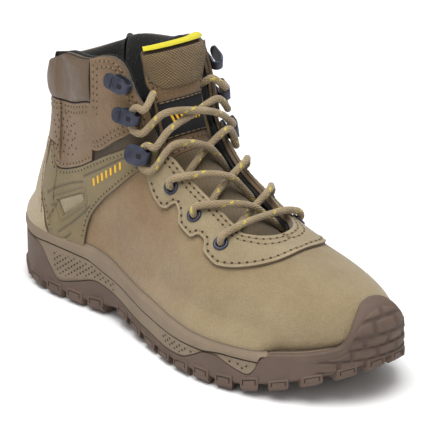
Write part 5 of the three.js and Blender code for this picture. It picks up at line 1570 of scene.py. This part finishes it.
def form_level(x, y, z):
    """Below 0 inside the form, and above 0 outside it."""
    across = np.abs(y - swing(x))
    out = np.zeros(np.shape(x))
    foot = feather_height(x)
    climbed = np.maximum((z - foot) / (crest_height(x) - foot), 0)
    for side_sign in SIDES:
        power = section_roundness(x)
        rear = climbed ** power + (across / wall_reach(x, z, side_sign, climbed)) ** power - 1
        angle = np.arctan2(x - BALL_X, across)
        widest = super_radius(np.cos(angle), np.sin(angle), HALF_WIDTH[side_sign](BALL_X), TOE_REACH,
                              TOE_ROUNDNESS[side_sign])
        power = section_roundness(BALL_X + widest * np.sin(angle) * 0.8)
        front = climbed ** power + (np.hypot(x - BALL_X, across) / widest) ** power - 1
        mine = (y < swing(x)) == (side_sign < 0)
        out = np.where(mine, np.where(x <= BALL_X, rear, front), out)
    return out


def crest_place(u):
    i = np.clip(np.searchsorted(CREST_U, u, side="left"), 1, len(CREST_U) - 2)
    dx, dz = CREST_X[i] - CREST_X[i - 1], CREST_Z[i] - CREST_Z[i - 1]
    size = np.hypot(dx, dz)
    t = (u - CREST_U[i - 1]) / (CREST_U[i] - CREST_U[i - 1])
    return CREST_X[i - 1] + t * dx, CREST_Z[i - 1] + t * dz, dx / size, dz / size


def crest_by_height(z):
    above = CREST_Z >= z
    return float(CREST_U[above.argmax()] if above.any() else CREST_U[-1])


def crest_near(p):
    i = np.clip(np.searchsorted(CREST_U, CREST_U, side="left"), 1, len(CREST_U) - 2)
    dx, dz = CREST_X[i] - CREST_X[i - 1], CREST_Z[i] - CREST_Z[i - 1]
    size = np.hypot(dx, dz)
    miss = np.abs((p[0] - CREST_X) * dx / size + (p[2] - CREST_Z) * dz / size)
    return float(CREST_U[miss.argmin()])


def front_point(u, across, height, normals=False):
    """A place over the front: along the crest, across it, and a height above the form."""
    u, across, height = np.broadcast_arrays(np.asarray(u, float), across, height)
    x, z, tx, tz = crest_place(u)
    near, far = np.full(u.shape, -1.0), np.full(u.shape, 60.0)

    def at(depth):
        return x - tz * depth, z + tx * depth
    for _ in range(34):
        middle = (near + far) / 2
        qx, qz = at(middle)
        outside = form_level(qx, across + swing(qx), qz) > 0
        near, far = np.where(outside, middle, near), np.where(outside, far, middle)
    px, pz = at(near)
    py = across + swing(px)

    def slope(dx, dy, dz):
        return form_level(px + dx, py + dy, pz + dz) - form_level(px - dx, py - dy, pz - dz)
    normal = unit(np.stack([slope(.5, 0, 0), slope(0, .5, 0), slope(0, 0, .5)], -1))
    points = np.stack([px, py, pz], -1) + normal * height[..., None]
    return (points, normal) if normals else points


tongue_face = curve([(60, -12), (84, -10.4), (118, -10.2), (140, -6.5), (158, -2.5), (176, .5)])
tongue_half = curve([(66, 14), (76, 19.5), (92, 26.5), (112, 27.5), (126, 24.5), (138, 21.8), (150, 21.8),
                     (158, 24.2),
                     (176, 24.6)])
TONGUE_LOW, TONGUE_TOP, PANEL, TONGUE_FOAM = 68.0, 174.0, 1.0, 3.6


def tongue_grid(u, share, offset, narrower=0.0):
    """Points over the tongue. share runs from -1 to 1 across it."""
    _, z, _, _ = crest_place(u)
    return front_point(u, share * (tongue_half(z) - narrower), tongue_face(z) + offset, normals=True)


def tongue_panel(name, start, end, outer, thickness, narrower, steps, columns, edge=0.3, puffed=None,
                 lower=None,
                 pillow=0.0):
    """A piece of sheet on the tongue between two heights. lower moves its foot, for each place across."""
    a, b = crest_by_height(start), crest_by_height(end)
    share = np.linspace(-1, 1, columns)[None, :]
    t = np.linspace(0, 1, steps)[:, None]
    first = a + (lower(share) if lower else 0 * share)
    u = first + (b - first) * t
    lift = pillow * (np.clip(1 - np.abs(share) ** 6, 0, 1) * np.clip(np.sin(math.pi * t), 0, 1) ** 0.4)
    points, normals = tongue_grid(u, share + 0 * u, outer + lift, narrower)
    piece = grid_piece(name, points, cloth_uv(points))
    face_out(piece, normals)
    distance = edge_distance(points)
    if puffed:
        puff(piece, (distance < 0.01).ravel(), **puffed)
    set_attribute(piece, "edge", distance)
    thicken(piece, thickness, edge)
    return piece, points, normals


def sew_on_tongue(points, normals, **how):
    sew(points + normals * SEAM_LIFT, normals, body="tongue", pitch=3.8, hole=(1.6, 1.1), width=0.8, **how)


def make_tongue():
    piece, _, _ = tongue_panel("tongue_mesh_cover", TONGUE_LOW, 121.5, 0.2, PANEL, 0.5, 60, 40, pillow=0.9)
    finish_piece(piece, TONGUE_CLOTH, "brown_mesh", "tongue_mesh", body="tongue")
    piece, points, normals = tongue_panel("tongue_leather_panel", 121.0, 172.5, 0.35, PANEL, 0.2, 56, 36,
                                          pillow=0.4,
                                          edge=0.35)
    finish_piece(piece, NUBUCK_ANKLE, "nubuck", "tongue_panel", body="tongue")
    for row in (2, 6):
        sew_on_tongue(points[row], normals[row])
    for column in (2, -3):
        sew_on_tongue(points[2:-2, column], normals[2:-2, column])

    def shield(share):
        return 12.5 * np.abs(share) ** 5
    piece, _, _ = tongue_panel(
        "tongue_top_cover", 150, 173.2, 1.3, 0.9, 0.6, 30, 44, lower=shield, pillow=1.3,
        puffed=dict(pressure=2.5, cap=0.6, growth=0.01))
    finish_piece(piece, TOP_CLOTH, "lace", "tongue_top", body="tongue")
    for gap in (1.6, 4.2):
        share = np.linspace(-0.97, 0.97, 60)
        u = crest_by_height(150) + shield(share) - gap
        line, out = tongue_grid(u, share, 0.45, 1.2)
        sew_on_tongue(line, out)
    make_tongue_pad()
    make_tongue_lining()
    make_label()


def make_tongue_pad():
    a, b = crest_by_height(TONGUE_LOW), crest_by_height(TONGUE_TOP)
    t = np.linspace(0, 1, 80)
    u = a + (b - a) * t
    turn = np.linspace(0, 2 * math.pi, 48, endpoint=False)
    across = np.sign(np.cos(turn)) * np.abs(np.cos(turn)) ** 0.6
    thick = np.sign(np.sin(turn)) * np.abs(np.sin(turn)) ** 0.7
    end = np.clip(np.minimum((b - u) / 2.5, (u - a) / 2.5) + 0.08, 0, 1) ** 0.5
    middle = -(PANEL + 2 * GAP) - TONGUE_FOAM / 2 + 0.35
    points, _ = tongue_grid(np.repeat(u[:, None], 48, 1), across[None, :] * (0.965 + 0.035 * end[:, None]),
                            middle + thick[None, :] * (TONGUE_FOAM / 2) * end[:, None])
    lengths = cloth_uv(points)
    piece = wrapped_piece("tongue_foam_pad", points, np.concatenate([lengths, lengths[:, :1]], 1))
    smooth(piece, 70)
    finish_piece(piece, BROWN_CLOTH, "foam", "tongue_padding", body="tongue")


def make_tongue_lining():
    """Yellow lining behind the foam, rolled over the tongue's top edge."""
    a, b = crest_by_height(TONGUE_LOW), crest_by_height(TONGUE_TOP)
    back = -(PANEL + 2 * GAP) - TONGUE_FOAM - 2 * GAP
    u = np.concatenate([np.linspace(a, b, 60), b + 2.6 * np.sin(np.linspace(0.2, math.pi, 12))])
    offset = np.concatenate([np.full(60, back),
                             back + (0.2 - back) * (0.5 - 0.5 * np.cos(np.linspace(0.2, math.pi, 12)))])
    share = np.linspace(-0.93, 0.93, 36)
    corner = 1 + 0.4 * np.exp(-((share - 0.75) / 0.22) ** 2)
    grid_u = u[:, None] + np.where(u[:, None] > b, (u[:, None] - b) * (corner[None, :] - 1),
                                   0) + 0 * share[None, :]
    points, normals = tongue_grid(grid_u, np.broadcast_to(share, grid_u.shape),
                                  np.broadcast_to(offset[:, None], grid_u.shape))
    piece = grid_piece("tongue_lining_cloth", points, cloth_uv(points))
    face_out(piece, -normals)
    thicken(piece, 0.8, 0)
    finish_piece(piece, YELLOW_CLOTH, "yellow_lining", "tongue_lining", body="tongue")


def bar_shape():
    """A slim raised bar, 1 by 1 by 1, its corners rounded."""
    bpy.ops.mesh.primitive_cube_add(size=1)
    piece = bpy.context.active_object
    apply_modifier(piece, "BEVEL", width=0.16, segments=2)
    return lift_off(piece)


def make_label():
    piece, points, normals = tongue_panel("tongue_label_patch", 128, 144.5, 1.2, 0.7, 2.4, 24, 40, edge=0.25)
    finish_piece(piece, LABEL_CLOTH, "label", "tongue_label", body="tongue")
    for row in (1, -2):
        sew_on_tongue(points[row, 1:-1], normals[row, 1:-1])
    bar = bar_shape()
    a = crest_by_height(136.3)
    placings = []
    for k in range(7):
        share = (k - 3) / 3 * 0.62
        at, out = tongue_grid(np.array([a]), np.array([share]), 1.3, 3.6)
        beside, _ = tongue_grid(np.array([a + 1.0]), np.array([share]), 1.3, 3.6)
        up = unit(beside[0] - at[0])
        across = np.cross(out[0], up)
        up = unit(up + across * 0.28)
        placings.append(basis(across * 1.5, up * 7.2, out[0] * 0.6, at[0]))
    mark = copies("tongue_label_bars", bar, placings)
    finish_piece(mark, MARK_CLOTH, "label", body="tongue")
    placings = []
    start, end = np.array([40.0, 87.0]), np.array([65.0, 104.2])
    for side_sign in SIDES:
        for k in range(7):
            s, z = start + (end - start) * k / 6
            at = frame_at_height(s, side_sign, z)
            line = unit(at["along"] * (end - start)[0] + at["inward"] * (end - start)[1])
            across = unit(np.cross(at["normal"], line))
            across = across if across @ at["inward"] > 0 else -across
            lean = unit(across + line * 0.3)
            placings.append(basis(line * 1.5, lean * 4.8, at["normal"] * 0.7,
                                  at["point"] + at["normal"] * (LAYER_OUT + 0.15)))
    mark = copies("side_band_bars", bar, placings)
    start_edit(mark)
    end_edit()
    finish_piece(mark, MARK_CLOTH, "label")


def make_gussets():
    for side_sign in SIDES:
        s, side = one_side(99, BALL_S, side_sign, 1.5)
        low, high = form.from_crest(s, side, 47), form.from_crest(s, side, 36)
        name = SIDE_NAME[side_sign]
        piece = panel("gusset_cloth_" + name, s, side, low, high, 10, -(LINING_SPACE + LINING + 3 * GAP), 0.8,
                      edge=0)
        finish_piece(piece, GUSSET_CLOTH, "black_mesh", "gusset_" + name)


# ------ hardware
def eyelet_shape():
    """A pressed ring with a rolled flange and a barrel."""
    section = [(2.78, -7.6), (2.72, -0.5), (2.75, 0.55), (3.0, 1.02), (3.5, 1.22), (4.1, 1.1), (4.55, 0.75),
               (4.72, 0.3),
               (4.6, 0.05), (3.4, 0.05), (3.3, -7.6)]
    bpy.ops.mesh.primitive_torus_add(major_segments=36, minor_segments=len(section), major_radius=4,
                                     minor_radius=1)
    piece = bpy.context.active_object
    turn = np.arange(36) * 2 * math.pi / 36
    r, z = np.array(section).T
    points = np.stack([np.cos(turn)[:, None] * r, np.sin(turn)[:, None] * r,
                       np.broadcast_to(z, (36, len(z)))], -1)
    set_points(piece, points)
    start_edit(piece)
    end_edit()
    return lift_off(piece)


def strip_shape(path, widths, thickness, edge):
    """A stamped metal strip: a grid bent along a path in the XZ plane, thickened and bevelled."""
    path, widths = np.array(path, float), np.array(widths, float)
    run = run_along(path)
    even = np.linspace(0, run[-1], 60)
    x, z, w = (np.interp(even, run, v) for v in (path[:, 0], path[:, 1], widths))
    kernel = np.ones(5) / 5
    x, z = (np.concatenate([v[:2], np.convolve(v, kernel, "valid"), v[-2:]]) for v in (x, z))
    share = np.linspace(-1, 1, 13)[None, :]
    points = np.stack([x[:, None] + 0 * share, w[:, None] * share, z[:, None] + 0 * share], -1)
    piece = grid_piece("strip", points)
    set_points(piece, points)
    apply_modifier(piece, "SOLIDIFY", thickness=thickness, offset=0)
    apply_modifier(piece, "BEVEL", width=edge, segments=2, limit_method="ANGLE", angle_limit=math.radians(50))
    return lift_off(piece)


def round_widths(path, reach):
    """Half widths along a strip with round ends."""
    run = run_along(path)
    out = np.full(len(run), reach)
    for from_end in (run, run[-1] - run):
        out = np.minimum(out, reach * np.sqrt(np.clip(1 - (1 - np.clip(from_end / reach, 0, 1)) ** 2, 0.02,
                                                      1)))
    return out


def dense(path, step=0.4):
    path = np.array(path, float)
    run = run_along(path)
    even = np.linspace(0, run[-1], int(run[-1] / step) + 2)
    return np.stack([np.interp(even, run, path[:, k]) for k in range(2)], 1)


def hook_shapes():
    """Two lace hooks: one with a long plate, one with a round plate."""
    out = []
    for reach, rear in ((4.9, -9.5), (6.2, -7.5)):
        base = dense([(-7.0, 0.75), (6.2, 0.75), (7.3, 1.3), (7.8, 2.6), (7.9, 4.2), (7.5, 6.0), (6.4, 7.2),
                      (5.0, 7.55),
                      (rear + 3.0, 7.55), (rear + 1.2, 7.3), (rear, 6.6)])
        widths = round_widths(base, reach)
        run = np.linspace(0, 1, len(base))
        at_neck = np.exp(-((base[:, 0] - 7.4) / 2.4) ** 2)
        widths = widths * (1 - 0.42 * at_neck)
        widths = np.where((base[:, 1] < 1.0) & (run < 0.5), widths * 0.86, widths)
        out.append(strip_shape(base, widths, 1.1, 0.28))
    return out


def rivet_shape():
    """A domed rivet head."""
    bpy.ops.mesh.primitive_uv_sphere_add(segments=20, ring_count=10, radius=2.1)
    piece = bpy.context.active_object
    points = get_points(piece.data)
    points[:, 2] = np.where(points[:, 2] > 0, points[:, 2] * 0.42, points[:, 2] * 0.1)
    set_points(piece, points)
    return lift_off(piece)


def recess_shape():
    """A rounded box that stands for a sunk slot with rounded corners, 1 by 1; its dark colour is painted
    shade.
    """
    bpy.ops.mesh.primitive_cube_add(size=1)
    piece = bpy.context.active_object
    apply_modifier(piece, "BEVEL", width=0.2, segments=3)
    return lift_off(piece)


def make_hardware():
    eyelet = eyelet_shape()
    for side_sign in SIDES:
        for number in range(3):
            at = eyelet_frame(number, side_sign)
            x = unit(at["inward"] - at["normal"] * (at["inward"] @ at["normal"]))
            placing = basis(x, np.cross(at["normal"], x), at["normal"],
                            at["point"] + at["normal"] * LAYER_OUT)
            name = f"{SIDE_NAME[side_sign]}_{number + 1}"
            piece = copies("eyelet_ring_" + name, eyelet, [placing])
            smooth(piece, 60)
            finish_piece(piece, HARDWARE, "hardware", "eyelet_" + name)
    long_hook, round_hook = hook_shapes()
    rivet, recess = rivet_shape(), recess_shape()
    for side_sign in SIDES:
        for number in range(3):
            at = hook_frame(number, side_sign)
            z = at["normal"]
            x = unit(at["along"] - z * (at["along"] @ z))
            y = np.cross(z, x)
            base = at["point"] + z * LAYER_OUT
            name = f"{SIDE_NAME[side_sign]}_{number + 1}"
            piece = copies("lace_hook_" + name, round_hook if number == 0 else long_hook,
                           [basis(x, y, z, base)])
            smooth(piece, 50)
            finish_piece(piece, HARDWARE, "hardware", "hook_" + name)
            piece = copies("rivet_head_" + name, rivet, [basis(x, y, z, base - x * 3.4 + z * 1.25)])
            smooth(piece, 60)
            finish_piece(piece, HARDWARE, "hardware", "hook_rivet_" + name)
            head = base + z * 8.0
            # dark boxes on the hook's head stand for its slots, their colour painted shade
            slots = [basis(x * 3.4, y * 3.0, z * 0.5, head + x * 2.6 + z * 0.02)]
            if number:
                slots += [basis(x * 0.7, y * 7.4, z * 0.5, head - x * 3.6 + z * 0.02)]
            piece = copies("hook_slot_" + name, recess, slots)
            finish_piece(piece, SLOT_SHADE, "hardware")


# ------ lace
OVER = LAYER_OUT + 1.1 + LACE_R + 0.3
UNDER = -(LINING_SPACE + LINING + LACE_R + 3.6 * GAP)
IN_HOOK = LAYER_OUT + GAP + 1.2 + 0.4 + LACE_R
HOOK_WRAP = [(-7.3, 10, -0.6), (-7.2, 5.2, 0), (-3.9, 2.6, 0), (0, 2.2, 0), (3.9, 2.6, 0), (7.2, 5.2, 0),
             (7.3, 10, -0.6)]


def local(at, inward, along, height):
    return at["point"] + at["inward"] * inward + at["along"] * along + at["normal"] * height


def through_eyelet(at):
    return [local(at, *p) for p in ((3.6, 0, OVER + 0.2), (0.8, 0, OVER - 0.8), (0, 0, 1.6), (0, 0, -2.6),
                                    (0.9, 0, UNDER + 0.7), (3.6, 0, UNDER))]


def round_hook_route(at):
    return [local(at, inward, along, IN_HOOK + rise) for inward, along, rise in HOOK_WRAP]


def crossing(start, end, heights):
    """A strand over the tongue, given the heights it has at places across."""
    ua, ub = crest_near(start), crest_near(end)
    ya, yb = (p[1] - float(swing(p[0])) for p in (start, end))
    return [front_point(ua + (ub - ua) * share, ya + (yb - ya) * share, height) for share, height in heights]


def lace_half(side_sign):
    near = [eyelet_frame(k, side_sign) for k in range(3)]
    far = [eyelet_frame(k, -side_sign) for k in range(3)]
    near_hooks = [hook_frame(k, side_sign) for k in range(3)]
    far_hooks = [hook_frame(k, -side_sign) for k in range(3)]

    def rising(target):
        return [(0.3, -4.9), (0.5, 1.2 if target == LATERAL else -4.4), (0.78, 5.6)]

    def outside(target):
        return [(0.2, 5.6), (0.5, 7.2 if target == LATERAL else 1.6), (0.8, 5.6)]

    def end(z, across, height):
        return front_point(crest_by_height(z), side_sign * across, height)
    return [*through_eyelet(near[0]), *crossing(near[0]["point"], far[1]["point"], rising(-side_sign)),
            *through_eyelet(far[1]), *crossing(far[1]["point"], near[2]["point"], rising(side_sign)),
            *through_eyelet(near[2]), *crossing(near[2]["point"], far_hooks[0]["point"], rising(-side_sign)),
            *round_hook_route(far_hooks[0]),
            *crossing(far_hooks[0]["point"], near_hooks[1]["point"], outside(side_sign)),
            *round_hook_route(near_hooks[1]),
            end(150, 22.1, 3), end(149.5, 22, -2.5), end(147.5, 22.6, -6.8), end(144, 25.4, UNDER - 0.8),
            end(138, 28, UNDER - 1)]


def centripetal(points, step):
    """A centripetal Catmull-Rom curve through points, at even steps."""
    points = np.asarray(points, float)
    ends = [2 * points[0] - points[1], *points, 2 * points[-1] - points[-2]]
    out = []
    for i in range(1, len(ends) - 2):
        p0, p1, p2, p3 = ends[i - 1:i + 3]
        t01, t12, t23 = (max(np.linalg.norm(b - a) ** 0.5, 1e-4) for a, b in ((p0, p1), (p1, p2), (p2, p3)))
        m1 = (p1 - p0) / t01 - (p2 - p0) / (t01 + t12) + (p2 - p1) / t12
        m2 = (p2 - p1) / t12 - (p3 - p1) / (t12 + t23) + (p3 - p2) / t23
        m1, m2 = m1 * t12, m2 * t12
        t = np.linspace(0, 1, 24, endpoint=False)[:, None]
        out.append(p1 * (2 * t ** 3 - 3 * t ** 2 + 1) + m1 * (t ** 3 - 2 * t ** 2 + t)
                   + p2 * (3 * t ** 2 - 2 * t ** 3) + m2 * (t ** 3 - t ** 2))
    out = np.concatenate([*out, points[-1:]])
    run = run_along(out)
    even = np.linspace(0, run[-1], int(run[-1] / step))
    return np.stack([np.interp(even, run, out[:, k]) for k in range(3)], 1)


def tube_points(path, radius, sides):
    """Rings round a path, carried along it without twist."""
    tangent = unit(np.gradient(path, axis=0))
    across = np.zeros_like(path)
    across[0] = unit(np.cross(tangent[0], [0, 0, 1.0]))
    for i in range(1, len(path)):
        across[i] = unit(across[i - 1] - tangent[i] * (across[i - 1] @ tangent[i]))
    other = np.cross(tangent, across)
    turn = np.linspace(0, 2 * math.pi, sides, endpoint=False)
    radius = np.broadcast_to(radius, len(path))[:, None, None]
    return (path[:, None] + across[:, None] * np.cos(turn)[None, :, None] * radius
            + other[:, None] * np.sin(turn)[None, :, None] * radius)


def make_lace():
    halves = {side: lace_half(side) for side in SIDES}
    bar = crossing(halves[LATERAL][0], halves[MEDIAL][0], [(0.22, 4.8), (0.5, 3.2), (0.78, 4.8)])
    path = centripetal([*halves[LATERAL][::-1], *bar, *halves[MEDIAL]], 0.9)
    sides = 18
    points = tube_points(path, LACE_R, sides)
    run = run_along(path)
    uv = np.stack(np.meshgrid(run, np.linspace(0, 10, sides + 1), indexing="ij"), -1)
    piece = wrapped_piece("lace_cord", points, uv)
    smooth(piece, 70)
    finish_piece(piece, LACE, "lace", "lace")
    for side_sign in SIDES:
        last = halves[side_sign][-1]
        heading = unit(front_point(crest_by_height(120), side_sign * 29, UNDER - 1.5) - last)
        t = np.linspace(0, 1, 24)
        radius = 1.6 * np.sqrt(np.clip(1 - np.clip((np.abs(t - 0.5) - 0.46) / 0.04, 0, 1) ** 2, 0.02, 1))
        points = tube_points(last + heading * (1.05 + 20 * t[:, None]), radius, 14)
        length = np.stack(np.meshgrid(t * 20, np.linspace(0, 10, 15), indexing="ij"), -1)
        piece = wrapped_piece("lace_end_tip_" + SIDE_NAME[side_sign], points, length)
        smooth(piece, 50)
        finish_piece(piece, TIP, "hardware", "lace_tip_" + SIDE_NAME[side_sign])


# ------ inside pieces
FOOTBED_REACH, FOOTBED_NARROW = (-133.0, 128.0), 0.87     # clear of the lining when the heel lifts


def make_footbed():
    """A shaped foam footbed under cloth, dished at the heel."""
    inside = LINING_SPACE + CAP_SPACE + LINING + GAP + 2.2
    s = np.linspace(2 - HEEL_SPAN, TOE_S - 3, 130)

    def corner(side_sign):
        toe = smoothstep(BALL_S + 9, BALL_S + 34, s)
        points, normals = form.spot(s, side_sign, 1.5)
        return points + normals * (-inside - toe * 6)[:, None]
    lateral, medial = corner(LATERAL), corner(MEDIAL)
    share = np.linspace(0.01, 0.99, 34)[None, :, None]
    points = lateral[:, None] * (1 - share) + medial[:, None] * share
    ends = [points[..., 0].min(), points[..., 0].max()]
    points[..., 0] = np.interp(points[..., 0], ends, FOOTBED_REACH)
    middle = swing(points[..., 0])
    points[..., 1] = middle + (points[..., 1] - middle) * FOOTBED_NARROW
    low = feather_height(points[..., 0]) + 3.2
    cup = np.abs(share[..., 0] * 2 - 1) ** 4
    points[..., 2] = low + 3.4 + 1.5 * cup
    piece = grid_piece("footbed_pad", points, cloth_uv(points))
    face_out(piece, np.broadcast_to([0, 0, 1.0], points.shape))
    thicken(piece, 3.2, 0.9)
    finish_piece(piece, FOOT_CLOTH, "foam", "footbed", body="footbed")


def dress_cad_nodes():
    """The hidden stiff pieces keep their CAD shape and get their own finishes."""
    for node, material in (("toe_cap", STEEL), ("puncture_plate", STEEL), ("insole_board", BOARD),
                           ("heel_counter", BOARD)):
        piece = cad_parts[node]
        piece.data.materials.clear()
        piece.data.materials.append(material)


def make_sewing():
    for body in ("boot", "tongue"):
        piece = copies("stitches_" + body, STITCH, threads[body])
        finish_piece(piece, THREAD, "nubuck", body=body)
        # needle holes and vents, coloured with painted shade
        piece = copies("needle_holes_" + body, DIMPLE, needle_holes[body])
        finish_piece(piece, HOLE_SHADE, "nubuck", body=body)
    piece = copies("ankle_vents", DIMPLE, vent_holes)
    finish_piece(piece, HOLE_SHADE, "nubuck")


# ------ studio
def make_studio():
    bpy.ops.mesh.primitive_plane_add(size=12)
    floor = bpy.context.active_object
    floor.name = "studio_floor"
    f = Finish("studio_floor", 0.9)
    f.done(f.mix(f.noise(3.0), (0.90, 0.90, 0.90, 1), (0.92, 0.92, 0.92, 1)))
    floor.data.materials.append(f.material)
    world = bpy.data.worlds.new("studio")
    bpy.context.scene.world = world
    world.use_nodes = True
    world.node_tree.nodes["Background"].inputs["Color"].default_value = (1, 1, 1, 1)
    world.node_tree.nodes["Background"].inputs["Strength"].default_value = 0.36
    for name, place, size, power in (("key", (0.3, -0.5, 2.1), 1.8, 62), ("fill", (0.6, -1.9, 0.9), 1.4, 5),
                                     ("back", (-0.4, 1.5, 1.6), 1.4, 9)):
        data = bpy.data.lights.new(name, "AREA")
        data.size = size
        data.energy = power
        light = bpy.data.objects.new(name, data)
        bpy.context.scene.collection.objects.link(light)
        light.location = place
        light.rotation_euler = (Vector((0, 0, 0.08)) - Vector(place)).to_track_quat("-Z", "Y").to_euler()
    bpy.context.scene.view_settings.view_transform = "Standard"
    bpy.context.scene.view_settings.look = "None"


make_outsole()
make_midsole()
make_vamp()
make_quarters()
make_bands()
make_ankle_panels()
make_heel_cover()
make_collar_pad()
make_eyestay()
make_linings()
make_tongue()
make_gussets()
make_hardware()
make_lace()
make_footbed()
make_sewing()
dress_cad_nodes()
make_studio()
